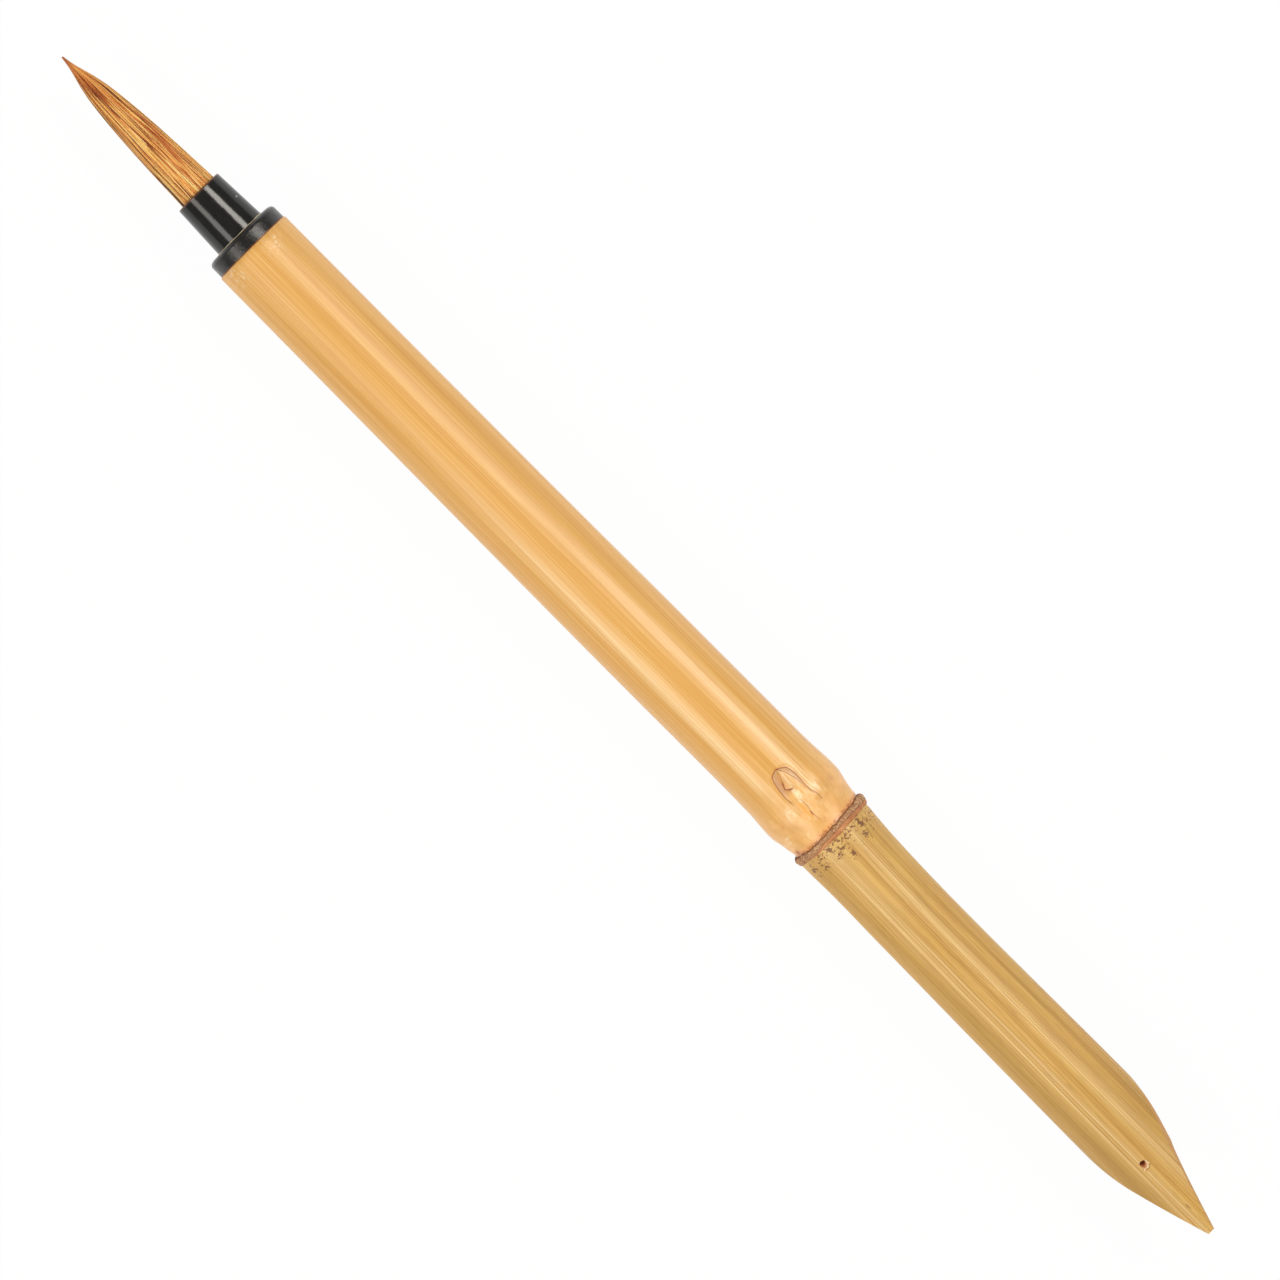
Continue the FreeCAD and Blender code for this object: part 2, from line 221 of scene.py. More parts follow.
def put(name, mesh, finishes, nodes=(), sharp=None):
    piece = linked(name, mesh)
    for finish in finishes:
        mesh.materials.append(finish)
    if sharp:
        mesh.set_sharp_from_angle(angle=math.radians(sharp))
    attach(piece, body)
    if nodes:
        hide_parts(*nodes)
    print("made", name, "with", len(mesh.polygons), "faces")
    return piece


class Signal:  # a shader socket; an expression on it adds Math nodes
    def __init__(self, finish, socket):
        self.finish = finish
        self.socket = socket

    def __add__(self, other):
        return self.finish.maths("ADD", self, other)

    def __sub__(self, other):
        return self.finish.maths("SUBTRACT", self, other)

    def __rsub__(self, other):
        return self.finish.maths("SUBTRACT", other, self)

    def __mul__(self, other):
        return self.finish.maths("MULTIPLY", self, other)

    __radd__ = __add__
    __rmul__ = __mul__

    def rises(self, low, high):  # 0 below low, 1 above high
        ends = {"From Min": low, "From Max": high, "Value": self}
        return self.finish.node("ShaderNodeMapRange", {"interpolation_type": "SMOOTHSTEP"}, ends)

    def near(self, centre, width):  # 1 at centre, 0 at width away
        return 1 - self.finish.maths("ABSOLUTE", self - centre).rises(0, width)


def linear(red, green, blue):  # a colour as it shows on a screen, 0 to 255, as the shader takes it
    share = np.array([red, green, blue]) / 255
    bright = np.where(share <= 0.04045, share / 12.92, ((share + 0.055) / 1.055) ** 2.4)
    return (*bright.tolist(), 1.0)


class Finish:  # the nodes of a material or of the world; look holds its colours by name
    def __init__(self, name, look=None, owner=None):
        self.look = look
        self.owner = owner or bpy.data.materials.new(name)
        self.owner.use_nodes = True
        self.tree = self.owner.node_tree
        self.tree.nodes.clear()

    def node(self, kind, settings=None, inputs=None, out=0):
        made = self.tree.nodes.new(kind)
        for key, value in (settings or {}).items():
            setattr(made, key, value)
        for key, value in (inputs or {}).items():
            if isinstance(value, Signal):
                self.tree.links.new(value.socket, made.inputs[key])
            else:
                made.inputs[key].default_value = value
        return Signal(self, made.outputs[out])

    def maths(self, operation, *values):
        return self.node("ShaderNodeMath", {"operation": operation}, dict(enumerate(values)))

    def attribute(self, name, out="Fac"):
        return self.node("ShaderNodeAttribute", {"attribute_name": name}, out=out)

    def attributes(self, *names):
        return [self.attribute(name) for name in names]

    def objectPlace(self):  # in millimetres
        return self.stretched(self.node("ShaderNodeTexCoord", out="Object"), (1 / mm,) * 3)

    def stretched(self, vector, scale):
        return self.node("ShaderNodeVectorMath", {"operation": "MULTIPLY"}, {0: vector, 1: scale})

    def parts(self, vector):
        return [self.node("ShaderNodeSeparateXYZ", inputs={0: vector}, out=i) for i in range(3)]

    def noise(self, vector, scale, detail, rough):  # scale: how many per millimetre, three ways
        inputs = {"Vector": self.stretched(vector, scale), "Scale": 1.0, "Detail": detail, "Roughness": rough}
        return self.node("ShaderNodeTexNoise", inputs=inputs)

    def ramp(self, value, stops):
        shown = self.node("ShaderNodeValToRGB", inputs={0: value})
        marks = shown.socket.node.color_ramp.elements
        while len(marks) < len(stops):
            marks.new(0.5)
        for mark, (position, colour) in zip(marks, stops):
            mark.position = position
            mark.color = linear(*colour)
        return shown

    def mix(self, share, first, second):  # each a colour's name in the look, or a socket
        ends = [end if isinstance(end, Signal) else linear(*self.look[end]) for end in (first, second)]
        return self.node("ShaderNodeMix", {"data_type": "RGBA"}, {0: share, 6: ends[0], 7: ends[1]}, out=2)

    def layers(self, colour, *coats):  # coats of a share and a colour, each over the last
        for share, coat in coats:
            colour = self.mix(share, colour, coat)
        return colour

    def bump(self, height, depth):  # depth in millimetres for a height of 1
        return self.node("ShaderNodeBump", inputs={"Height": height, "Distance": depth * mm, "Strength": 1.0})

    def shader(self, **sockets):
        names = {key.replace("_", " "): value for key, value in sockets.items()}
        return self.ends(self.node("ShaderNodeBsdfPrincipled", inputs=names))

    def ends(self, surface, kind="ShaderNodeOutputMaterial"):
        output = self.tree.nodes.new(kind)
        self.tree.links.new(surface.socket, output.inputs["Surface"])
        return self.owner


cane = dict(
    # outlines of the two skins: place from the middle of the sheath ring, radius
    lightOutline=[(-120.1, 6.56), (-72.7, 6.66), (-35.7, 6.8), (-14.6, 6.78), (-11.2, 6.83), (-9.1, 6.93),
                  (-7.4, 7.05), (-6.1, 7.11), (-5.2, 7.05), (-4.4, 6.86), (-3.6, 6.7), (-2.8, 6.56),
                  (-1.1, 6.3), (0.3, 6.25)],
    greenOutline=[(-0.3, 6.3), (1.1, 6.54), (3.6, 6.4), (6.9, 6.25), (11.6, 6.17), (18.6, 6.14), (37.2, 6.26),
                  (55.9, 6.37), (80.7, 6.37)],
    # place from the ring's middle, sideways step of the middle line
    course=[(-120.1, 0), (-72.7, -0.08), (-35.7, 0), (-14.6, 0.07), (-6.1, 0.07), (-1.1, 0), (1.1, -0.15),
            (6.9, -0.3), (18.6, -0.53), (37.2, -0.6), (80.7, -0.6)],
    around=240, fine=0.16, coarse=1.1, fineBefore=16, fineBehind=8, penFine=0.45, penFineFrom=24,
    lap=0.3, lapInset=0.1, lapDepth=0.3, bevel=0.2, bevelStep=0.02, bore=4.95, boreDepth=10.5,
    upperHollow=2.7, lowerHollow=3.55, wallBefore=2.9, wallBehind=0.5, jointBack=1.7, dome=3.0,
    domeShare=0.45,
    lightSeed=11, greenSeed=23, nodeLumps=0.05, skinLumps=0.008, slant=0.05, nodeMiddle=-4.5, nodeReach=6,
)
nominalRadius = 6.5
straightY = cane["course"][-1][1]
penRadius = cane["greenOutline"][-1][1]


def middleAt(x):
    return smoothCurve(cane["course"], x - ringX)


def skinPlace(points):  # place from the ring's middle, and round the skin from the top, in millimetres
    x, y, z = points.T
    return x - ringX, np.arctan2(y - middleAt(x), z) * nominalRadius


def grainOf(points):
    # where a point would lie on a straight cane of even thickness, so that the fibres follow the skin
    x, y, z = points.T
    light, green = (smoothCurve(cane[outline], x - ringX) for outline in ("lightOutline", "greenOutline"))
    swell = nominalRadius / np.where(x < ringX, light, green)
    return np.stack([x, (y - middleAt(x)) * swell, z * swell], -1)


def slanted(x, angle):  # radius of the light skin where its ridge runs aslant
    near = softStep(-12, -9, x - ringX) * (1 - softStep(-2.5, -0.5, x - ringX))
    return smoothCurve(cane["lightOutline"], x - ringX + near * cane["slant"] * nominalRadius * np.cos(angle))


def skinRounds(x, radius, seed):
    # rounds of the skin with slow lumps, which are stronger at the node; the node's ridge runs aslant
    angle = fullTurn(cane["around"])
    place = x[:, None]
    rounds = turned(np.stack([x, radius], -1), cane["around"], middleAt(place))
    node = bell(place - ringX - cane["nodeMiddle"], cane["nodeReach"])
    lumps = ripples(seed, 14, 9.0, 5, place, angle) * cane["skinLumps"]
    lumps += np.minimum(ripples(seed + 1, 26, 0.9, 9, place, angle), 0) * cane["nodeLumps"] * node
    lumps = lumps * (1 - softStep(-1.0, 0.2, budCover(rounds.reshape(-1, 3)).reshape(lumps.shape)))
    lumps += slanted(place, angle) - slanted(place, math.pi / 2)
    pushOut(rounds, lumps, angle)
    return rounds


def jointed(mesh, pole):  # the end inside the node drawn back to a point, in the middle of the diaphragm
    points = pointsOf(mesh)
    points[pole] = (ringX - cane["jointBack"], 0, 0)
    setPoints(mesh, points)
    return mesh


def lightCane():
    # the wall's outline carried once round: out along the hollow, over the end and back along the skin
    start, end = caneLow[0], ringX + cane["lap"]
    hollow, hollowEnd = cane["upperHollow"], ringX - cane["wallBefore"]
    boreEnd = start + cane["boreDepth"]
    skin = densely([start + cane["bevel"], ringX - cane["fineBefore"], end], [cane["coarse"], cane["fine"]])
    radius = smoothCurve(cane["lightOutline"], skin - ringX)
    inside = [(hollowEnd, cane["domeShare"] * hollow), (hollowEnd - cane["dome"], hollow), (boreEnd, hollow),
              (boreEnd, cane["bore"]), (start, cane["bore"]),
              (start, radius[0] - cane["bevel"] - cane["bevelStep"]), (start, radius[0] - cane["bevel"])]
    root = [(end - cane["lapInset"], radius[-1] - cane["lapDepth"])]
    rounds = [turned(inside, cane["around"]), skinRounds(skin, radius, cane["lightSeed"]),
              turned(root, cane["around"])]
    mesh = jointed(tube("lightCane", np.concatenate(rounds)), -1)
    sinkBud(mesh)
    return mesh


def greenCane():
    start, end = ringX + cane["lap"], penTipX
    skin = densely([start, ringX + cane["fineBehind"], end - cane["penFineFrom"], end],
                   [cane["fine"], cane["coarse"], cane["penFine"]])
    radius = smoothCurve(cane["greenOutline"], skin - ringX)
    hollow, hollowStart = cane["lowerHollow"], ringX - cane["wallBehind"]
    inside = [(end, radius[-1] - pen["tipThickness"]), (end - pen["thinning"], hollow),
              (hollowStart + cane["dome"], hollow), (hollowStart, cane["domeShare"] * hollow)]
    root = [(start - cane["lapInset"], radius[0] - cane["lapDepth"])]
    rounds = [turned(root, cane["around"]), skinRounds(skin, radius, cane["greenSeed"]),
              turned(inside, cane["around"], straightY)]
    return jointed(tube("greenCane", np.concatenate(rounds)), -2)


pen = dict(
    roll=9.5,
    # side, degrees to the axis, distance from the axis at the writing edge, radius that leads in
    flanks=[(1, 16.3, 0.3, 29.5), (-1, 17.7, 0.74, 35.4)],
    scoopBack=15.4, scoopHeight=0.9, scoopRadius=40.0, steep=35.0, flat=3.0, thinning=23.4, tipThickness=0.9,
    slit=0.02, slitEnd=-0.2, past=1.0, wide=2 * nominalRadius,
    ventBack=14.0, ventShift=-0.4, ventRadius=0.5, ventLean=28.0, ventSeed=5, chip=0.28, chipDepth=0.3,
    # the vent: depth under the skin, share of its radius, how ragged it is there
    ventOutline=[(-0.9, 1.8, 0.1), (-0.05, 1.5, 0.1), (0.14, 1.28, 0.08), (0.4, 1.02, 0.05),
                 (0.8, 0.96, 0.03), (5.2, 1.0, 0.0)],
    # what counts as skin and as the vent's wall when the cut faces get their finish
    skinBand=0.09, ventMouth=1.05, ventFoot=0.5, sharp=35,
    # specks beside the ring: place along, place across, size
    clusters=[(2.1, 4.4, 0.9), (3.9, 4.0, 0.7), (1.8, 2.6, 0.45), (2.1, 1.1, 0.5), (2.9, -0.1, 0.5),
              (5.0, 0.3, 0.5), (1.8, -2.1, 0.5), (3.4, -1.3, 0.45), (3.4, -4.5, 0.7), (2.5, -6.8, 0.8),
              (1.5, -4.2, 0.45)],
)
penTurn = math.radians(pen["roll"])
ventX = penTipX - pen["ventBack"]


def onPen(points):  # carries a cutter made about the X axis to the pen's middle line, turned with its tongue
    x, y, z = points[..., 0], points[..., 1], points[..., 2]
    across = y * math.cos(penTurn) - z * math.sin(penTurn) + straightY
    return np.stack([x, across, y * math.sin(penTurn) + z * math.cos(penTurn)], -1)


def prism(name, outline, axis, low, high):
    # an outline in the plane square to the axis, run from low to high along it
    ends = [np.insert(np.array(outline, float), axis, side, axis=1) for side in (low, high)]
    return tube(name, onPen(np.array(ends)))


def scoopOutline():
    # an arc into the barrel that runs out almost flat under the tongue
    end, beyond = penTipX - pen["scoopBack"], penTipX + pen["past"]
    flat, steep = math.radians(pen["flat"]), math.radians(pen["steep"])
    centre = np.array([end + math.sin(flat) * pen["scoopRadius"],
                       pen["scoopHeight"] - math.cos(flat) * pen["scoopRadius"]])
    sweep = np.linspace(steep, flat, 28)
    bend = centre + pen["scoopRadius"] * np.stack([-np.sin(sweep), np.cos(sweep)], -1)
    tip = (beyond, pen["scoopHeight"] + (beyond - end) * math.tan(flat))
    deep = bend[0][1] - pen["wide"]
    below = (bend[0][0] - pen["wide"] / math.tan(steep), deep)
    return [*bend.tolist(), tip, (beyond, deep), below]


def flankOutline(side, angle, halfWidth, lead):
    # an arc that leads from the barrel into a straight flank down to the writing edge
    half = math.radians(angle)
    slope = math.tan(half)
    corner = penTipX - (penRadius - halfWidth) / slope
    begin = corner - lead * math.tan(half / 2)
    sweep = np.linspace(0, half, 14)
    bendX = begin + lead * np.sin(sweep)
    bendY = penRadius - lead * (1 - np.cos(sweep))
    beyond = penTipX + pen["past"]
    outline = [*zip(bendX, bendY), (beyond, halfWidth - slope * pen["past"]), (beyond, pen["wide"]),
               (begin, pen["wide"])]
    return [(x, side * y) for x, y in outline]


def slitOutline():
    # a hairline from the vent to the writing edge, which it meets in the middle
    half, beyond = pen["slit"] / 2, penTipX + pen["past"]
    aside, low = pen["ventShift"], pen["slitEnd"]
    return [(ventX, aside - half), (beyond, low - half), (beyond, low + half), (ventX, aside + half)]


def ventCutter():
    # a leaning hole with a chipped mouth: rounds square to its line, wider and more ragged near the skin
    depth, share, rough = np.array(pen["ventOutline"]).T[..., None]
    angle = fullTurn(30)
    radius = share * pen["ventRadius"] * (1 + rough * ripples(pen["ventSeed"], 7, 1.0, 5, 0 * depth, angle))
    lean = math.radians(pen["ventLean"])
    chip = bell(depth, pen["chipDepth"]) * pen["chip"]
    x = ventX + 0.6 * chip - depth * math.sin(lean) + radius * np.cos(angle) * math.cos(lean)
    y = pen["ventShift"] + chip + radius * np.sin(angle)
    z = penRadius - depth * math.cos(lean) - radius * np.cos(angle) * math.sin(lean)
    return tube("vent", onPen(np.stack([x, y, z], -1)))


def cut(piece, mesh):
    cutter = linked(mesh.name, outward(mesh))
    step = piece.modifiers.new(mesh.name, "BOOLEAN")
    step.operation = "DIFFERENCE"
    step.solver = "EXACT"
    step.object = cutter
    bpy.context.view_layer.objects.active = piece
    bpy.ops.object.modifier_apply(modifier=step.name)
    bpy.data.objects.remove(cutter)


def speckled(points):  # how thickly the brown specks stand
    node, around = skinPlace(points)
    total = 0.46 * bell(node - 1.6, 2.4) * (points[:, 2] > 0) * softStep(-12, 0, around)
    for along, across, size in pen["clusters"]:
        total = np.maximum(total, bell(np.hypot((node - along) / 1.3, around - across), size))
    return np.clip(total, 0, 1) * softStep(0.9, 1.3, node)


def cutFinish(mesh):
    # which finish each face has: 0 the skin, 1 the cut wall, 2 the wall of the vent
    flat = np.zeros(len(mesh.polygons) * 3, np.float32)
    mesh.polygons.foreach_get("center", flat)
    x, y, z = flat.reshape(-1, 3).T / mm
    y = y - middleAt(x)
    skin = np.abs(np.hypot(y, z) - smoothCurve(cane["greenOutline"], x - ringX)) < pen["skinBand"]
    across = y * math.cos(penTurn) + z * math.sin(penTurn)
    height = z * math.cos(penTurn) - y * math.sin(penTurn)
    lean = (penRadius - height) * math.tan(math.radians(pen["ventLean"]))
    vent = np.hypot(x + lean - ventX, across - pen["ventShift"]) < pen["ventMouth"]
    vent = vent & (height > pen["scoopHeight"] + pen["ventFoot"])
    return np.where(skin, 0, np.where(vent, 2, 1))


def cutPen(finishes):
    piece = put("penInternode", greenCane(), finishes, ["bamboo_cane"])
    wide = pen["wide"]
    cut(piece, prism("scoop", scoopOutline(), 1, -wide, wide))
    for flank in pen["flanks"]:
        cut(piece, prism("flank", flankOutline(*flank), 2, -wide, wide))
    cut(piece, prism("slit", slitOutline(), 2, 0, wide))
    cut(piece, ventCutter())
    mesh = piece.data
    points = pointsOf(mesh)
    paint(mesh, "grain", grainOf(points))
    paint(mesh, "speckle", speckled(points))
    mesh.polygons.foreach_set("material_index", cutFinish(mesh).astype(np.int32))
    mesh.set_sharp_from_angle(angle=math.radians(pen["sharp"]))
    mesh.update()
    print("pen cut with", len(mesh.polygons), "faces")


bud = dict(
    # p runs from the bud's point towards the ring and q across it, in millimetres
    start=budLow[0] + 0.1, roll=3.7, length=9.7, overhang=0.4, steps=(230, 100), radius=1.06 * nominalRadius,
    upperEdge=[(0.0, 0.0), (0.3, 0.63), (0.8, 1.36), (1.5, 1.57), (2.5, 1.66), (3.6, 1.6), (4.7, 1.49),
               (5.66, 1.54), (6.45, 1.8), (7.25, 1.94), (7.7, 1.9)],
    lowerEdge=[(0.0, 0.0), (0.24, -0.87), (0.52, -1.27), (1.23, -1.54), (2.97, -1.87), (4.08, -1.95),
               (5.2, -1.82), (5.7, -1.69)],
    # how the two edges run out, unseen
    upperRest=[(8.8, 1.5), (9.7, 0.2)], lowerRest=[(7.6, -1.75), (9.0, -1.2), (9.7, -0.2)],
    upperCover=[(-0.4, 0.05), (0.0, 0.7), (0.6, 1.75), (1.8, 2.1), (4.5, 2.0), (6.3, 2.3), (8.0, 2.4),
                (9.2, 1.6), (9.7, 0.2)],
    lowerCover=[(-0.4, -0.05), (0.0, -0.9), (0.6, -1.75), (1.8, -2.1), (4.0, -2.4), (6.3, -2.3), (8.0, -2.2),
                (9.2, -1.5), (9.7, -0.2)],
    fold=[(0.12, 0.12), (1.0, 0.63), (2.66, 1.1), (4.08, 1.27), (5.0, 1.45)],
    crease=[(3.6, -0.2), (4.5, -0.3), (5.7, -0.5)],
    crack=[(5.7, -0.5), (7.1, -0.4), (7.7, -0.6), (8.4, -0.68), (9.0, -0.55), (9.9, -0.46)],
    slit=[(7.95, -0.66), (8.5, -0.69)],
    notch=[(2.3, -0.75), (2.97, -1.06), (3.55, -0.6), (3.62, -0.25)],
    under=[(0.3, -0.08), (1.4, -0.38), (2.4, -0.8)],
    ridge=[(0.3, 0.07), (1.4, 0.12), (2.4, 0.12), (3.4, 0.0)],
    ridgeFoot=[(0, 0.0), (1.9, -0.5), (2.97, -1.1), (3.8, -0.2)],
    upperFlesh=[(4.9, 0.75), (6.6, 0.8), (8.8, 0.5)], lowerFlesh=[(6.1, -1.15), (7.2, -1.2), (8.4, -1.15)],
    # p, height over the skin
    swell=[(0, 0.06), (0.9, 0.24), (3.0, 0.2), (5.0, 0.1), (7.0, 0.03), (8.5, 0.0)], swellIn=0.6,
    base=0.012, edgeWidth=0.14, edgeDip=0.012, sunk=-0.12, skinDip=0.25,
)
budTurn = math.radians(bud["roll"])
# lines of the bud as they rise or sink in its surface, and as they are coloured
budLines = dict(
    relief=[dict(line="fold", share=-0.025, width=0.1, inside=True),
            dict(line="notch", share=-0.09, width=0.11, inside=True),
            dict(line="crack", share=-0.03, width=0.07, inside=True),
            dict(line="slit", share=-0.06, width=0.09, inside=True),
            dict(line="crease", share=-0.05, width=0.12, aside=0.15, inside=True),
            dict(line="ridge", share=0.06, width=0.2, fade=(2.8, 3.8)),
            dict(line="upperFlesh", share=0.1, width=0.7), dict(line="lowerFlesh", share=0.09, width=0.4)],
    # dark lines, partly the bud's own brown and partly painted shade: in the notch and its soft shadow, under
    # the arrowhead, along the crack and slit, and below the fold
    stainAndShade=[dict(line="notch", share=0.75, width=0.14, inside=True),
           dict(line="notch", share=0.25, width=0.5, inside=True),
           dict(line="under", share=0.55, width=0.12, aside=-0.02, inside=True),
           dict(line="crack", share=0.65, width=0.06, fade=(9.4, 9.9)),
           dict(line="fold", share=0.6, width=0.11, fade=(3.0, 5.0)),
           dict(line="slit", share=0.9, width=0.08)],
    # painted highlights: pale lines beside the fold, along the ridge and beside the crease
    paintedGlint=[dict(line="fold", share=0.8, width=0.07, aside=0.14, fade=(2.4, 4.4), inside=True),
           dict(line="ridge", share=0.5, width=0.14), dict(line="crease", share=0.7, width=0.14, aside=0.1)],
    flesh=[dict(line="upperFlesh", share=0.25, width=0.8), dict(line="lowerFlesh", share=0.75, width=0.42)],
    pale=[dict(line="crease", share=0.9, width=0.25, aside=0.12)],
)
# spots on the bud and round the node: strength, place along, place across, reach both ways. On the bud, the
# streak beside the crack is a painted highlight.
budSpots = dict(stainAndShade=[(0.8, 7.6, 1.92, 0.13, 0.13)], paintedGlint=[(0.75, 7.2, -0.25, 1.2, 0.12)],
                pale=[(0.7, 4.6, 0.1, 1.4, 0.35), (0.3, 7.8, 0.5, 2.4, 1.2)])
nodeSpots = dict(
    stainAndShade=[(0.9, -1.1, -7.5, 0.4, 0.6)],
    pale=[(0.7, -6.3, 2.8, 1.1, 0.7), (0.65, -5.9, -2.5, 1.0, 1.0), (0.8, -3.6, -6.4, 0.2, 0.7),
          (0.8, -2.9, -6.6, 0.16, 0.6)],
    bruise=[(0.5, -5.6, 5.6, 0.6, 0.5), (0.4, -5.2, 4.2, 0.5, 0.5), (0.25, -4.6, -3.6, 1.6, 0.7)],
)


def budPlace(points):  # where points on the cane lie along and across the bud
    x, y, z = points.T
    return x - bud["start"], (np.arctan2(y - middleAt(x), z) - budTurn) * bud["radius"]


def onSkin(p, q, rise):  # and back: points at a height over the skin
    x = bud["start"] + p
    angle = math.pi / 2 - (q / bud["radius"] + budTurn)
    return polar(x, slanted(x, angle) + rise, angle, middleAt(x))


def rimOf(p, q):
    # distance from the bud's outline, more than nought within it, and how clearly the outline shows
    above, below = fromLine(bud["upperEdge"], p, q), fromLine(bud["lowerEdge"], p, q)
    upper = smoothCurve(bud["upperEdge"] + bud["upperRest"], p)
    lower = smoothCurve(bud["lowerEdge"] + bud["lowerRest"], p)
    nearest = np.minimum(above, below)
    shown = np.where(above < below, 1 - softStep(6.9, 7.8, p), 1 - softStep(4.9, 5.9, p))
    return np.where((p > 0) & (q < upper) & (q > lower), nearest, -nearest), shown


def budCover(points):  # distance from the edge of the bud's own mesh, more than nought inside it
    p, q = budPlace(points)
    inside = np.minimum(smoothCurve(bud["upperCover"], p) - q, q - smoothCurve(bud["lowerCover"], p))
    inside = np.minimum(inside, np.minimum(p + bud["overhang"], bud["length"] - p))
    return np.where(points[:, 2] > 0, inside, -9)


def strokes(kind, p, q, rim):
    # sum of soft lines; each may lie aside of its course, fade out along it, or end at the bud's outline
    def stroke(line, share, width, aside=0.0, fade=(99, 100), inside=False):
        drawn = share * bell(fromLine(bud[line], p, q) - aside, width) * (1 - softStep(*fade, p))
        return drawn * (rim > 0) if inside else drawn
    return sum(stroke(**row) for row in budLines[kind])


def lightMarks(points):
    # colour marks on the light skin and the bud, painted highlights and painted shade among them: how much of
    # each shows at every point
    p, q = budPlace(points)
    node, around = skinPlace(points)
    x, y, z = points.T
    rim, shown = rimOf(p, q)
    top, within = z > 0, rim > 0
    front = 1 - softStep(2.9, 4.6, p)
    drawn = {kind: strokes(kind, p, q, rim) for kind in ("stainAndShade", "paintedGlint", "flesh", "pale")}
    for kind, rows in budSpots.items():
        drawn[kind] += spots(rows, p, q)
    # the outline: a brown line, partly painted shade in its groove, and a fainter brown line inside its lower
    # front
    drawn["stainAndShade"] += (0.6 + 0.15 * (p < 0.6)) * shown * bell(rim, bud["edgeWidth"])
    drawn["stainAndShade"] += 0.25 * bell(rim - 0.32, 0.05) * front * (q < 0)
    # painted highlight: a bright line just inside the front of the outline
    drawn["paintedGlint"] += 0.85 * bell(rim - 0.2, 0.08) * (1 - softStep(3.4, 5.2, p)) * within
    belowRidge = softStep(0.1, 0.3, smoothCurve(bud["ridgeFoot"], p) - q)
    aboveFold = softStep(0.0, 0.12, q - smoothCurve(bud["fold"], p))
    bruise = np.clip(0.85 * belowRidge + 0.75 * aboveFold + 0.1, 0, 1)
    drawn["bruise"] = softStep(-0.05, 0.08, rim) * front * bruise
    marks = {kind: values * top for kind, values in drawn.items()}
    for kind, rows in nodeSpots.items():
        marks[kind] += spots(rows, node, around)
    marks["blush"] = softStep(-13, -4, node) * (0.6 + 0.4 * bell(around, 6)) + 0.5 * bell(node + 1.0, 1.3)
    marks["fringe"] = bell(ringBack(y, z) - x, 0.6)
    return marks


def paintMarks(mesh, marks):
    paint(mesh, "grain", grainOf(pointsOf(mesh)))
    for name, values in marks.items():
        paint(mesh, name, np.clip(values, 0, 1))


def sinkBud(mesh):
    # the skin dips under the bud, so that the bud's own faces show there
    points = pointsOf(mesh)
    paintMarks(mesh, lightMarks(points))
    x, y, z = points.T
    angle = np.arctan2(z, y - middleAt(x))
    outside = np.hypot(y - middleAt(x), z) > nominalRadius - 0.6
    pushOut(points, -bud["skinDip"] * softStep(0.08, 0.4, budCover(points)) * outside, angle)
    setPoints(mesh, points)


def roundTrip(back, belly):  # over the back and home under the belly, as one closed round
    return np.concatenate([back, belly[:, ::-1][:, 1:-1]], 1)


def budMesh():
    # a grid of p and of the share from the lower to the upper cover line; its back is a height over the
    # skin and its belly lies under it. Outline, folds, notch and crack are drawn into the height.
    first = 0.01 - bud["overhang"]
    share = np.linspace(0, 1, bud["steps"][1])
    p = np.broadcast_to(np.linspace(first, bud["length"], bud["steps"][0])[:, None], bud["steps"])
    upper, lower = smoothCurve(bud["upperCover"], p), smoothCurve(bud["lowerCover"], p)
    q = lower + (upper - lower) * share
    rim, shown = rimOf(p, q)
    height = bud["base"] + smoothCurve(bud["swell"], p) * (1 - (1 - np.clip(rim / bud["swellIn"], 0, 1)) ** 2)
    height += strokes("relief", p, q, rim) - bud["edgeDip"] * bell(rim, bud["edgeWidth"]) * shown
    crinkle = bell(rim - 0.35, 0.4) * softStep(5.4, 6.2, p) * (q < 0)
    height += 0.008 * ripples(31, 18, 0.45, 9, p, q * 1.6) + 0.02 * crinkle * np.sin(p * 9 + q * 3)
    fromSides = np.minimum(share, 1 - share) * (len(share) - 1)
    fromEnds = np.minimum(p - first, bud["length"] - p)
    height = np.where((fromSides < 1.5) | (fromEnds < 0.03), bud["sunk"], height)
    back, belly = onSkin(p, q, height), onSkin(p, q, np.minimum(height - 0.1, -0.2))
    mesh = tube("budMesh", roundTrip(back, belly))
    paintMarks(mesh, lightMarks(pointsOf(mesh)))
    return outward(mesh)


innerTip = dict(
    # p, q of its two edges and of its spine
    upper=[(0.3, 0.09), (1.2, 0.34), (2.4, 0.36), (3.4, 0.12), (3.6, -0.16)],
    lower=[(0.3, 0.03), (1.5, -0.38), (2.5, -0.78), (2.97, -1.02), (3.4, -0.66), (3.6, -0.26)],
    spine=[(0.3, 0.06), (1.4, 0.1), (2.6, 0.06), (3.6, -0.2)],
    # p, height of the bud under it and of its roof over that
    base=[(0, 0.05), (0.9, 0.2), (3.0, 0.17), (5.0, 0.1)],
    roof=[(0.3, 0.02), (1.0, 0.1), (2.8, 0.15), (3.45, 0.1), (3.6, 0.0)],
    ends=(0.3, 3.6), steps=(70, 41), thickness=0.15,
)


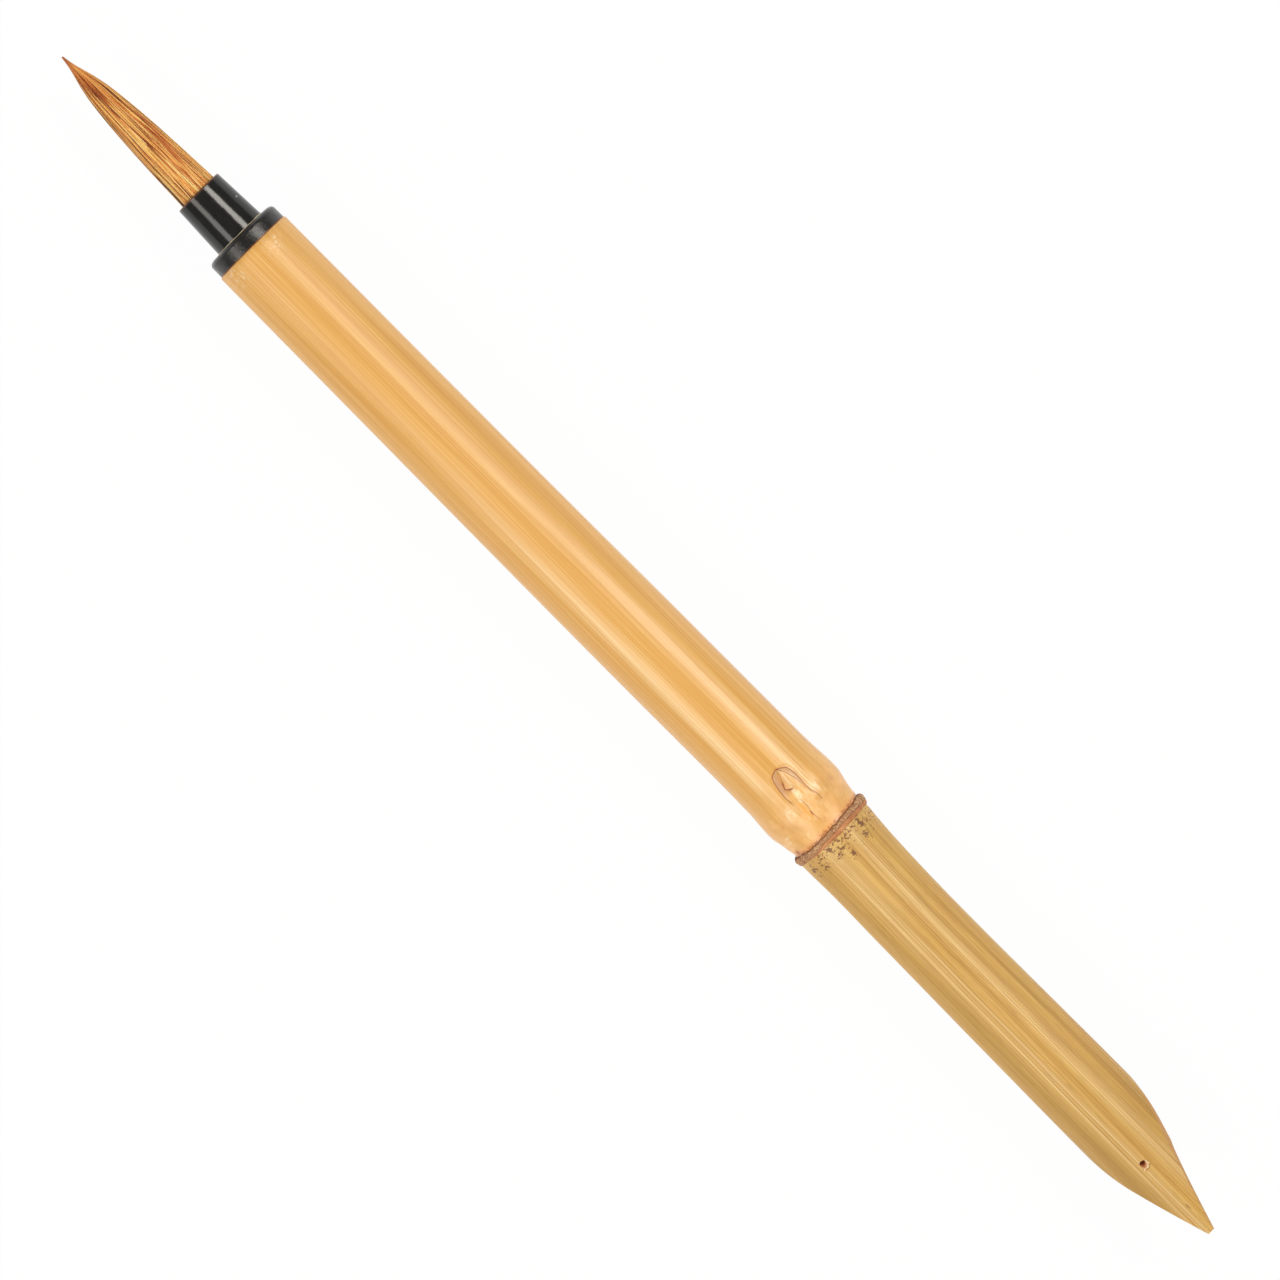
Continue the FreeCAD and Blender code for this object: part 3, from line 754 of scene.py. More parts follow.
def innerScale():
    # the arrowhead of the inner scale: a small leaf that lies on the bud's point, shaped as a low roof
    share = np.linspace(-1, 1, innerTip["steps"][1])
    p = np.broadcast_to(np.linspace(*innerTip["ends"], innerTip["steps"][0])[:, None], innerTip["steps"])
    upper, lower, spine, roof, base = (smoothCurve(innerTip[line], p)
                                       for line in ("upper", "lower", "spine", "roof", "base"))
    q = np.where(share > 0, spine + share * (upper - spine), spine + share * (spine - lower))
    base = base + bud["base"]
    back = onSkin(p, q, base + (1 - np.abs(share) ** 1.5) * roof)
    mesh = tube("innerScale", roundTrip(back, onSkin(p, q, base - innerTip["thickness"])))
    share = np.broadcast_to(share, p.shape)
    share = np.append(roundTrip(share, share).ravel(), [0, 0])
    # painted shadow along the arrowhead's lower edge and a painted highlight along its spine
    paintMarks(mesh, dict(
        stainAndShade=0.75 * softStep(0.86, 1, -share), bruise=0.25 + 0.3 * softStep(0.2, 0.8, -share),
        pale=0.5 * bell(share - 0.1, 0.5), paintedGlint=0.6 * bell(share - 0.15, 0.3),
        flesh=0 * share, blush=0.3 + 0 * share, fringe=0 * share,
    ))
    return outward(mesh)


ring = dict(
    # from the ring's middle: place across the cane, place of the margin along it
    backMargin=[(-6.5, -0.6), (-5.4, -0.42), (-4.1, -0.14), (-2.2, -0.2), (-0.3, -0.27), (3.2, -0.5),
                (5.6, -0.8), (6.6, -1.05)],
    frontMargin=[(-6.5, 1.0), (-4.1, 1.22), (-2.2, 1.33), (-0.3, 1.4), (1.6, 1.3), (3.2, 1.18), (6.6, 0.9)],
    # where the margins lie on the underside
    plainBack=-1.05, plainFront=1.0,
    # place across the cane, share of the band that is rough
    parting=[(-6.5, 0.9), (-4.1, 0.78), (-2.2, 0.6), (0, 0.52), (3.2, 0.55), (6.6, 0.72)],
    # share of the band, height over the neck
    profile=[(0, -0.12), (0.02, 0.12), (0.08, 0.4), (0.2, 0.6), (0.36, 0.66), (0.6, 0.58), (0.82, 0.45),
             (0.95, 0.3), (1, 0.16)],
    neck=6.3, floor=-0.3, around=520, lumps=0.05, crumbs=0.016, seam=0.09, dent=0.25, dentAt=150,
    backWander=0.05, frontWander=0.025, partingWander=0.02,
)


def margin(name, plain, y, z):
    # place of a margin from the ring's middle: its own course above, a plain circle below
    reach = np.maximum(np.hypot(y, z), 1e-6)
    above = softStep(-0.35, 0.1, z / reach)
    return plain + (smoothCurve(ring[name], nominalRadius * y / reach) - plain) * above


def ringBack(y, z):  # where the ring's margin towards the bud lies along the cane
    return ringX + margin("backMargin", ring["plainBack"], y, z)


def ringMesh():
    # the band's profile carried round the node between its two margins, with lumps on its rough part
    band = np.concatenate([[0.03], np.linspace(0, 1, 60) ** 1.15, [0.97]])[:, None]
    band, angle = np.broadcast_arrays(band, fullTurn(ring["around"]))
    y, z = np.cos(angle), np.sin(angle)
    back = ringBack(y, z) + ring["backWander"] * ripples(45, 16, 1.0, 40, 0 * band, angle)
    front = ringX + margin("frontMargin", ring["plainFront"], y, z)
    front += ring["frontWander"] * ripples(46, 12, 1.0, 16, 0 * band, angle)
    parting = smoothCurve(ring["parting"], nominalRadius * y)
    walk = band - parting - ring["partingWander"] * ripples(47, 10, 1.0, 24, 0 * band, angle)
    rough = 1 - softStep(-0.1, 0.04, walk)
    lumps = ripples(43, 30, 0.3, 40, band * 2, angle) * ring["lumps"] * (0.25 + 0.75 * rough)
    lumps += ripples(44, 24, 0.12, 90, band * 2, angle) * ring["crumbs"] * rough
    lumps -= ring["seam"] * bell(walk, 0.045)
    lumps -= ring["dent"] * bell(angle - math.radians(ring["dentAt"]), 0.06) * bell(band - 0.05, 0.25)
    rise = smoothCurve(ring["profile"], band)
    rise = rise + np.clip(lumps, -0.16, 0.05) * softStep(0, 0.1, band) * (1 - softStep(0.93, 1, band))
    rise[0], rise[-1] = ring["floor"], ring["floor"]
    mesh = tube("ringMesh", polar(back + (front - back) * band, ring["neck"] + rise, angle), joined=True)
    paint(mesh, "walk", walk.ravel())
    paint(mesh, "share", band.ravel())
    paint(mesh, "grain", grainOf(pointsOf(mesh)))
    return outward(mesh)


fittings = dict(
    around=160, ferruleWall=0.58, mouthRound=0.18, mouthInner=0.12, cupFloor=1.4, seat=0.3, peg=3.3,
    taper=0.35, footFrom=0.12, chamfer=0.4, boreGap=0.05, rimRound=0.06, collarEdge=0.85, spigot=4.9,
    dents=0.012, beadWidth=0.2, beadProud=0.16, beadWander=0.02, beadSunk=0.28,
)


def arc(centre, radius, first, last, count):  # points on an arc, by its centre and angles in degrees
    sweep = np.radians(np.linspace(first, last, count))
    return np.stack([centre[0] + radius * np.cos(sweep), centre[1] + radius * np.sin(sweep)], -1)


def ferruleMesh():
    # the wall's outline: up the cup, round its lip, down the tapered outside to the peg
    foot, end = ferruleHigh[2], ferruleHigh[0]
    mouth = foot - fittings["taper"]
    cup = mouth - fittings["ferruleWall"]
    lip, inner = fittings["mouthRound"], fittings["mouthInner"]
    peg, seat, chamfer = fittings["peg"], fittings["seat"], fittings["chamfer"]
    outside = np.linspace((mouthX + lip, mouth), (-fittings["footFrom"], foot), 30)
    outline = np.concatenate([
        [(-fittings["cupFloor"], cup)], arc((mouthX + inner, cup + inner), inner, 270, 180, 5),
        arc((mouthX + lip, mouth - lip), lip, 180, 90, 7), outside[1:],
        [(seat, foot), (seat, peg), (end - chamfer, peg), (end, peg - chamfer)],
    ])
    return tube("ferruleMesh", turned(outline, fittings["around"]))


def collarMesh():
    # the plug's outline: out of the bore, over the seat, the rounded front and the rim, back to the spigot
    rim, start, end = collarHigh[2], caneLow[0], collarHigh[0]
    bore, edge, seat = fittings["peg"] + fittings["boreGap"], fittings["collarEdge"], fittings["seat"]
    seatRadius = ferruleHigh[2] + fittings["beadWidth"]
    spigot, chamfer, rimRound = fittings["spigot"], fittings["chamfer"], fittings["rimRound"]
    sweep = np.radians(np.linspace(0, 90, 12))
    nose = np.stack([edge * 0.9 * (1 - np.sin(sweep)), rim - edge * 1.15 * (1 - np.cos(sweep))], -1)[::-1]
    outline = np.concatenate([
        [(end, bore), (seat, bore), (seat, seatRadius), (0.0, seatRadius), (0.0, rim - edge * 1.4)], nose,
        [(1.4, rim), (2.1, rim), (start - rimRound, rim), (start, rim - rimRound), (start, spigot),
         (end - chamfer, spigot), (end, spigot - chamfer)],
    ])
    angle = fullTurn(fittings["around"])
    shown = softStep(rim - 1.4, rim - 0.4, outline[:, 1])[:, None]
    dents = -np.abs(ripples(61, 26, 0.8, 14, outline[:, :1], angle)) * fittings["dents"] * shown
    rounds = turned(outline, fittings["around"])
    pushOut(rounds, dents, angle)
    return tube("collarMesh", rounds, joined=True)


def beadMesh():
    # a low fillet of glue whose outer margin wanders
    angle = fullTurn(fittings["around"])
    foot, wander = ferruleHigh[2], fittings["beadWander"]
    width = fittings["beadWidth"] + ripples(71, 12, 1.0, 12, 0 * angle, angle) * wander - wander
    proud = fittings["beadProud"] + ripples(72, 12, 1.0, 16, 0 * angle, angle) * wander - wander
    sweep = np.radians(np.linspace(0, 90, 7))[:, None]
    sunk = [fittings["beadSunk"] + 0 * angle]
    x = np.concatenate([sunk, -proud * np.sin(sweep), sunk])
    inner = foot - wander
    radius = np.concatenate([[foot + width], inner + (width + wander) * np.cos(sweep), [inner + 0 * angle]])
    return outward(tube("beadMesh", polar(x, radius, angle), joined=True))


hair = dict(
    length=mouthX - tipX, radius=3.18, steps=30, drop=-0.2, inRoot=0.05,
    # share of the length from the tip, share of the radius
    fullness=[(0, 0.045), (0.036, 0.09), (0.078, 0.165), (0.105, 0.23), (0.13, 0.292), (0.182, 0.42),
              (0.234, 0.515), (0.286, 0.59), (0.45, 0.745), (0.6, 0.84), (0.8, 0.93), (1, 1)],
    # a hair that shows: half its width and half its height, and how it thins along itself
    hairWidth=0.13, hairHeight=0.03, thinning=[(0, 1), (0.7, 0.95), (0.9, 0.6), (1, 0.1)],
    # how deep they lie at most, their mean tone and its spread, and their share of the full width
    loose=dict(seed=101, count=150, deepest=0.05, lift=0.5, spread=0.25, width=1.0),
    # the top hairs' wide spread of tone paints highlights and shade on single hairs, over their own tone
    top=dict(seed=211, count=64, deepest=0.0, lift=0.52, spread=0.6, width=0.5),
    # the imported hair under them; its low tone also partly paints the shade between the hairs above
    bodyShare=0.96, grooves=0.01, bodySeed=83, bodyToneAndGapShade=0.36,
    darkCount=8, darkSeed=97, darkReach=(3.2, 6.4), darkAngle=159,
    darkThinning=[(0, 1), (0.7, 0.9), (1, 0.15)],
)


def tuftRadius(x):
    return hair["radius"] * smoothCurve(hair["fullness"], (x - tipX) / hair["length"])


def reachOf(x):  # 0 at the tip of the tuft, 1 at the ferrule
    return np.clip((x - tipX) / hair["length"], 0, 1)


def tuftMiddle(x):  # the point hangs a little to one side
    return hair["drop"] * (1 - reachOf(x)) ** 1.5


def strandMesh(name, x, angle, inset, thick):
    # each hair is a flat four-sided tube that lies along the tuft, closed at both ends
    count, rows = x.shape
    centre = polar(x, np.maximum(tuftRadius(x) - inset, 0), angle, tuftMiddle(x))
    outwards, sideways = polar(0 * x, 1.0, angle), polar(0 * x, 1.0, angle + math.pi / 2)
    corner, thick = fullTurn(4)[:, None], thick[..., None, None]
    points = centre[:, :, None] + thick * hair["hairWidth"] * np.cos(corner) * sideways[:, :, None]
    points = points + thick * hair["hairHeight"] * np.sin(corner) * outwards[:, :, None]
    index = np.arange(count * rows * 4).reshape(count, rows, 4)
    quads = np.concatenate([between(index[:, :-1], index[:, 1:]), index[:, 0, ::-1], index[:, -1]])
    mesh = meshOf(name, points.reshape(-1, 3), quads)
    comb = polar(x, hair["radius"], angle.mean(1, keepdims=True))
    paint(mesh, "comb", np.repeat(comb.reshape(-1, 3), 4, 0))
    paint(mesh, "reach", np.repeat(reachOf(x).ravel(), 4))
    return outward(mesh)


def looseHairs(name, seed, count, deepest, lift, spread, width):
    # hairs laid side by side. So many end on the way that they stay as close all along the tuft, and
    # neighbours lie at different depths.
    dice = np.random.default_rng(seed)

    def each(low, high):
        return dice.uniform(low, high, (count, 1))

    along = np.linspace(0, 1, hair["steps"] + 1)
    places, shares = np.array(hair["fullness"]).T
    end = tipX + hair["length"] * np.interp(each(0.06, 1.0), shares, places)
    start = mouthX + 1.0
    x = start + (end - start) * along
    number = np.arange(count)[:, None]
    angle = (number + each(-0.5, 0.5)) * 2 * math.pi / count
    angle = angle + each(0.01, 0.07) * np.sin(each(0.2, 0.5) * x + each(0, 6.3))
    angle = angle + each(-0.1, 0.1) * (start - x) / 28
    layer = (number * 5 % 8) / 8
    inset = hair["hairHeight"] + deepest * layer * (0.3 + 0.7 * tuftRadius(x) / hair["radius"])
    thick = smoothCurve(hair["thinning"], along) * each(0.55, 1.15) * width + 0 * x
    mesh = strandMesh(name, x, angle, inset, thick)
    tone = lift + spread * dice.normal(0, 1, (count, 1)) + 0.1 * np.sin(each(0.2, 0.7) * x + each(0, 6.3))
    paint(mesh, "tone", np.repeat(np.clip(tone, 0, 1).ravel(), 4))
    return mesh


def hairBody():
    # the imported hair: the tuft's outline, a little in, with grooves that draw together at the point
    x = densely([tipX + 0.05, mouthX - 20, mouthX, tuftHigh[0] - hair["inRoot"]], [0.2, 0.4, 0.5])[:, None]
    x, angle = np.broadcast_arrays(x, fullTurn(300))
    radius = tuftRadius(np.minimum(x, mouthX))
    grooves = np.tanh(ripples(hair["bodySeed"], 34, 14.0, 44, x, angle))
    radius = radius * (hair["bodyShare"] + hair["grooves"] * grooves * softStep(0.5, 2.5, radius))
    mesh = tube("hairBody", polar(x, radius, angle, tuftMiddle(x)))
    comb = polar(x, hair["radius"], angle).reshape(-1, 3)
    # darker in the grooves: painted shade, over the hair's own tone
    tone = hair["bodyToneAndGapShade"] + 0.12 * grooves
    paint(mesh, "comb", np.concatenate([comb, comb[:1], comb[-1:]]))
    paint(mesh, "tone", np.append(tone.ravel(), [hair["bodyToneAndGapShade"]] * 2))
    paint(mesh, "reach", np.append(reachOf(x).ravel(), [0, 1]))
    return mesh


def darkHairs():
    # a few dark hairs that lie along the lower side from the ferrule
    dice = np.random.default_rng(hair["darkSeed"])
    count = hair["darkCount"]
    along = np.linspace(0, 1, 15)
    start = mouthX + 0.8
    ends = mouthX - dice.uniform(*hair["darkReach"], (count, 1))
    x = start + (ends - start) * along
    phase = dice.uniform(0, 6, (2, count, 1))
    angle = math.radians(hair["darkAngle"]) + dice.normal(0, 0.03, (count, 1))
    angle = angle + 0.015 * np.sin(1.3 * x + phase[0])
    inset = 0.02 * np.sin(1.1 * x + phase[1])
    return strandMesh("darkHairs", x, angle, inset, smoothCurve(hair["darkThinning"], along) + 0 * x)


# colours of the light skin and the bud; two pale ones are painted highlights, on the lamp bands and on the
# bud, and the darkest also paints shade in the bud's grooves, notch and folds
lightLook = dict(
    skin=(230, 176, 97), deep=(221, 163, 82), light=(247, 204, 134), paintedSheen=(255, 222, 168),
    blush=(252, 195, 126), dusk=(228, 162, 96), dawn=(254, 214, 148), flesh=(250, 174, 76),
    bruise=(208, 152, 108), pale=(254, 226, 178), paintedGlint=(254, 222, 172), fringe=(226, 140, 80),
    flake=(166, 94, 48), stainAndShade=(158, 76, 18), scuff=(252, 232, 206),
)


def lightBamboo():
    finish = Finish("lightBamboo", lightLook)
    grain = finish.attribute("grain", "Vector")
    along, across, up = finish.parts(grain)
    above = up.rises(0, 1)
    marks = finish.attributes("blush", "flesh", "bruise", "pale", "paintedGlint", "fringe", "stainAndShade")
    blush, flesh, bruise, pale, paintedGlint, fringe, stainAndShade = marks
    fibre = finish.noise(grain, (0.025, 4.2, 4.2), 3, 0.65)
    hairline = finish.noise(grain, (0.04, 8.0, 8.0), 1, 0.5)
    streak = finish.noise(grain, (0.01, 0.8, 0.8), 3, 0.5)
    cloud = finish.noise(grain, (0.35, 0.5, 0.5), 3, 0.6)
    patch = finish.noise(grain, (0.9, 2.0, 2.0), 5, 0.7)
    dusk = finish.noise(grain, (0.5, 0.6, 0.6), 4, 0.6)
    flakes = finish.noise(grain, (2.4, 3.2, 3.2), 4, 0.65)
    scuffs = finish.noise(grain, (1.6, 2.6, 2.6), 4, 0.7).rises(0.52, 0.64)
    # painted highlight: two long bands, lighter where the lamps' reflections run along the top of the cane,
    # stronger towards the node
    paintedSheen = across.near(-3.0, 1.35) * along.rises(30, 85) * along.rises(116, 109) * 0.5
    paintedSheen = paintedSheen + across.near(2.45, 0.9) * along.rises(60, 100) * along.rises(116, 112) * 0.2
    byCollar = along.near(4.4, 2.4) * (across.near(2.4, 2.2) + across.near(-4.6, 2.0)) * above
    byRing = (flakes - 0.7 + 0.28 * fringe).rises(0, 0.08) * fringe.rises(0.3, 0.8)
    colour = finish.layers(
        finish.mix(streak.rises(0.36, 0.66), "deep", "skin"),
        (fibre.rises(0.5, 0.68) * 0.5, "light"),
        (fibre.rises(0.5, 0.34) * 0.5, "deep"),
        (hairline.rises(0.53, 0.66) * 0.3, "light"),
        (hairline.rises(0.47, 0.34) * 0.35, "deep"),
        (blush * (0.35 + 0.9 * cloud.rises(0.35, 0.7)) * 0.75, "blush"),
        (paintedSheen * above * (0.6 + 0.8 * fibre.rises(0.35, 0.65)), "paintedSheen"),
        (blush * dusk.rises(0.52, 0.72) * 0.6, "dusk"),
        (blush * dusk.rises(0.46, 0.3) * 0.5, "dawn"),
        (flesh * 0.8, "flesh"),
        (bruise * (0.45 + 0.8 * patch), "bruise"),
        (pale * (0.15 + 1.1 * patch.rises(0.4, 0.6)), "pale"),
        # painted highlights on the bud's rims, ridge and crease
        (paintedGlint * 0.75, "paintedGlint"),
        (fringe * 0.5, "fringe"),
        (byRing * 0.7, "flake"),
        # the bud's brown lines and spots, partly painted shade
        (stainAndShade, "stainAndShade"),
        (scuffs * byCollar * 0.9, "scuff"),
    )
    rough = 0.33 - 0.09 * along.rises(40, 108) + 0.12 * fibre + 0.2 * stainAndShade
    normal = finish.bump(fibre * 0.7 + hairline * 0.3, 0.045)
    return finish.shader(Base_Color=colour, Roughness=rough, Normal=normal)


# colours of the green skin; the pale lines paint highlights in the lamp bands, the dim colour paints shade on
# one side, and a dark brown paints the shade in the slit
greenLook = dict(
    skin=(214, 167, 80), streak=(192, 144, 64), deep=(176, 128, 50), light=(232, 193, 118),
    dash=(158, 108, 52), line=(248, 216, 156), cloud=(206, 150, 84), shadeAndDarkEnd=(170, 128, 58),
    haze=(170, 116, 66), dot=(136, 84, 48), speck=(118, 70, 40), slitShade=(120, 74, 40),
)


def greenBamboo():
    finish = Finish("greenBamboo", greenLook)
    grain = finish.attribute("grain", "Vector")
    speckle = finish.attribute("speckle")
    along, across, up = finish.parts(grain)
    above, fromRing = up.rises(0, 1), along - ringX
    fibre = finish.noise(grain, (0.02, 3.8, 3.8), 3, 0.7)
    hairline = finish.noise(grain, (0.04, 8.5, 8.5), 1, 0.5)
    streak = finish.noise(grain, (0.012, 0.6, 0.6), 3, 0.5)
    cloud = finish.noise(grain, (0.12, 0.5, 0.5), 3, 0.6)
    dashes = finish.noise(grain, (0.22, 6.0, 6.0), 2, 0.5)
    lines = finish.noise(grain, (0.012, 9.0, 9.0), 1, 0.5).rises(0.5, 0.58)
    specks = finish.noise(grain, (2.2, 1.9, 1.9), 4, 0.62)
    dots = finish.noise(grain, (4.4, 3.8, 3.8), 2, 0.5)
    # painted highlight: pale fibre lines show only in two bands where the lamps' reflections run along the
    # cane
    paintedHighlightBands = across.near(-2.3, 1.9) + across.near(1.9, 1.3) * 0.8
    # painted shade on the top's flank towards -Y from 128 mm on, and a plain darkening towards the pen's end
    shadeAndDarkEnd = across.near(-4.5, 2.0) * along.rises(128, 160) * above * 0.45 + along.rises(166, 186) * 0.22
    blots = (specks - 0.6 + 0.2 * speckle).rises(0.0, 0.09) * speckle.rises(0.03, 0.2)
    dots = (dots - 0.66 + 0.12 * speckle).rises(0.0, 0.07) * speckle.rises(0.1, 0.3)
    # painted shade: a dark dash where the slit shows in the skin
    besideSlit = along.near(penTipX - 5.0, 0.9) * across.near(-1.07, 0.16) * above
    colour = finish.layers(
        finish.mix(streak.rises(0.34, 0.62), "streak", "skin"),
        (fibre.rises(0.5, 0.34) * 0.6, "deep"),
        (fibre.rises(0.5, 0.66) * 0.5, "light"),
        (dashes.rises(0.56, 0.66) * 0.45, "dash"),
        (lines * paintedHighlightBands * above * 0.85, "line"),
        (hairline.rises(0.53, 0.66) * 0.45, "light"),
        (hairline.rises(0.47, 0.34) * 0.45, "deep"),
        (cloud.rises(0.45, 0.75) * 0.25, "cloud"),
        (shadeAndDarkEnd, "shadeAndDarkEnd"),
        (fromRing.rises(4.5, 1.0) * 0.35, "light"),
        (fromRing.rises(24, 12) * across.near(-0.6, 1.6) * above * 0.45, "light"),
        (speckle * specks.rises(0.4, 0.6) * 0.3, "haze"),
        (dots * 0.6, "dot"),
        (blots * 0.85, "speck"),
        (besideSlit * 0.9, "slitShade"),
    )
    normal = finish.bump(fibre * 0.7 + hairline * 0.3, 0.07)
    return finish.shader(Base_Color=colour, Roughness=0.42 + 0.16 * fibre, Normal=normal)


cutLook = dict(
    face=(218, 164, 94), pith=(232, 200, 146), rind=(196, 142, 72), dot=(188, 126, 62),
    # the vent's darker colour paints the shade deep in the hole
    ventShade=(184, 112, 72), ventWall=(252, 228, 178), ventFibre=(120, 76, 42),
)


def cutBamboo():
    finish = Finish("cutBamboo", cutLook)
    place = finish.objectPlace()
    fibre = finish.noise(place, (0.12, 6.0, 6.0), 3, 0.6)
    dots = finish.noise(place, (0.5, 3.0, 3.0), 3, 0.6)
    across, up = finish.parts(place)[1:]
    across = across - straightY
    fromAxis = finish.maths("SQRT", across * across + up * up)
    colour = finish.layers(
        finish.mix(fibre.rises(0.35, 0.7), "face", "pith"),
        (dots.rises(0.58, 0.7) * 0.5, "dot"),
        (fromAxis.rises(2.8, 5.2) * 0.9, "rind"),
    )
    return finish.shader(Base_Color=colour, Roughness=0.6 + 0.2 * fibre, Normal=finish.bump(fibre, 0.08))


def ventWall():
    finish = Finish("ventWall", cutLook)
    place = finish.objectPlace()
    fibre = finish.noise(place, (3.0, 5.0, 5.0), 3, 0.6)
    # painted shade: the vent's wall turns darker deeper in the hole
    deep = finish.parts(place)[2].rises(penRadius - 0.4, penRadius - 0.75)
    colour = finish.mix(deep, "ventWall", "ventShade")
    colour = finish.mix(fibre.rises(0.5, 0.7) * 0.3, colour, "ventFibre")
    return finish.shader(Base_Color=colour, Roughness=0.75 + 0.1 * fibre)


scaleLook = dict(
    roughDeep=(146, 99, 65), roughPale=(220, 176, 130), roughCloud=(184, 130, 90), smoothDeep=(186, 120, 76),
    smoothPale=(216, 152, 102), thread=(150, 92, 56), seam=(108, 66, 42), backEdge=(104, 58, 34),
    frontEdge=(126, 82, 50),
)


def dryScale():
    finish = Finish("dryScale", scaleLook)
    grain = finish.attribute("grain", "Vector")
    walk, share = finish.attributes("walk", "share")
    threads = finish.noise(grain, (7.0, 0.9, 0.9), 3, 0.6)
    fine = finish.noise(grain, (3.2, 3.6, 3.6), 3, 0.65) * 0.65 + threads * 0.35
    coarse = finish.noise(grain, (0.8, 1.0, 1.0), 3, 0.6)
    rough = finish.mix(fine.rises(0.42, 0.6), "roughDeep", "roughPale")
    rough = finish.mix(coarse.rises(0.4, 0.65) * 0.4, rough, "roughCloud")
    smooth = finish.mix(coarse.rises(0.35, 0.7), "smoothDeep", "smoothPale")
    smooth = finish.mix(fine.rises(0.5, 0.3) * 0.35, smooth, "thread")
    colour = finish.layers(
        finish.mix(walk.rises(-0.06, 0.04), rough, smooth),
        (walk.near(0.0, 0.06) * fine.rises(0.3, 0.6) * 0.7, "seam"),
        (share.rises(0.16, 0.04) * fine.rises(0.4, 0.52) * 0.8, "backEdge"),
        (share.rises(0.93, 1.0) * 0.5, "frontEdge"),
    )
    normal = finish.bump(fine * 0.8 + coarse * 0.2, 0.14)
    dull = 0.5 + 0.25 * fine
    return finish.shader(Base_Color=colour, Roughness=dull, Normal=normal, Specular_IOR_Level=0.3)


blackLook = dict(
    lacquer=(18, 18, 17), lacquerHaze=(28, 27, 25), lip=(112, 72, 48), speck=(226, 222, 212),
    plastic=(24, 23, 20), plasticHaze=(38, 36, 32), chip=(206, 196, 182), joint=(112, 58, 36),
)


def blackLacquer():
    finish = Finish("blackLacquer", blackLook)
    place = finish.objectPlace()
    along, across, up = finish.parts(place)
    haze = finish.noise(place, (0.5, 1.1, 1.1), 5, 0.7)
    fine = finish.noise(place, (2.2, 5.0, 5.0), 4, 0.65)
    lip = along.rises(mouthX + 0.42, mouthX + 0.1)
    speck = along.near(mouthX + 4.4, 0.16) * across.near(3.55, 0.16) * up.rises(0, 1)
    colour = finish.layers(
        finish.mix(haze.rises(0.35, 0.7), "lacquer", "lacquerHaze"),
        (lip * (0.35 + 0.5 * fine), "lip"),
        (speck, "speck"),
    )
    rough = 0.06 + 0.08 * haze + 0.05 * fine
    normal = finish.bump(haze * 0.6 + fine * 0.4, 0.018)
    return finish.shader(Base_Color=colour, Roughness=rough, Normal=normal, IOR=1.5)


def blackPlastic():
    finish = Finish("blackPlastic", blackLook)
    place = finish.objectPlace()
    along, across, up = finish.parts(place)
    haze = finish.noise(place, (1.2, 1.2, 1.2), 5, 0.7)
    fine = finish.noise(place, (6.0, 6.0, 6.0), 3, 0.6)
    chips = finish.noise(place, (3.2, 3.2, 3.2), 2, 0.5).rises(0.64, 0.68)
    colour = finish.layers(
        finish.mix(haze.rises(0.35, 0.7), "plastic", "plasticHaze"),
        (chips * along.rises(1.7, 2.4) * across.near(-3.0, 3.2) * up.rises(0, 1), "chip"),
        (along.rises(2.35, 2.52) * 0.8, "joint"),
    )
    normal = finish.bump(haze * 0.7 + fine * 0.3, 0.09)
    return finish.shader(Base_Color=colour, Roughness=0.12 + 0.16 * haze, Normal=normal, IOR=1.5)


hairLook = dict(
    # place in the ramp of tones, colour
    tones=[(0.05, (136, 60, 20)), (0.25, (198, 104, 38)), (0.45, (238, 150, 70)), (0.62, (252, 179, 92)),
           (0.9, (255, 214, 134))],
    # the pale and dark line colours are partly painted highlights on single hairs and painted shade between
    # hairs
    bright=(255, 212, 116), dark=(158, 74, 28), tip=(172, 98, 50), shadeBehindTip=7.0,
)


def goldenHair():
    finish = Finish("goldenHair", hairLook)
    tone, reach = finish.attributes("tone", "reach")
    comb = finish.attribute("comb", "Vector")
    streak = finish.noise(comb, (0.12, 1.9, 1.9), 2, 0.5)
    fine = finish.noise(comb, (0.1, 4.8, 4.8), 2, 0.6)
    lines = finish.noise(comb, (0.05, 7.0, 7.0), 1, 0.5)
    along, across, up = finish.parts(finish.objectPlace())
    shade = along.near(tipX + hairLook["shadeBehindTip"], 4.5) * across.near(-0.7, 1.1) * up.rises(0, 1)
    # the fine noise's valleys give dark red-brown lines that partly paint the shade between hairs
    value = tone + 0.9 * (streak - 0.5) + 1.8 * (fine - 0.5) - 0.12 * (1 - reach.rises(0.15, 0.6))
    value = value + 0.07 - 0.38 * shade + 0.14 * reach.rises(0.6, 0.9)
    colour = finish.layers(
        finish.ramp(value, hairLook["tones"]),
        # thin pale lines, partly painted highlights on single hairs, and thin dark lines, partly painted
        # shade between hairs
        (lines.rises(0.57, 0.64) * 0.6, "bright"),
        (lines.rises(0.43, 0.36) * 0.5, "dark"),
        (reach.rises(0.11, 0.02), "tip"),
    )
    return finish.shader(Base_Color=colour, Roughness=0.42 + 0.16 * fine, Specular_IOR_Level=0.35)


plainLook = dict(
    darkHair=(26, 16, 12), darkHairPale=(58, 36, 24), coreHair=(120, 84, 50), coreHairPale=(206, 164, 110),
    reserveHair=(150, 100, 56), reserveHairPale=(226, 182, 122), glue=(206, 182, 142),
    gluePale=(240, 224, 190), thread=(120, 92, 62), threadPale=(206, 184, 148), resin=(120, 66, 24),
    resinPale=(188, 122, 52), threadPitch=0.3,
)


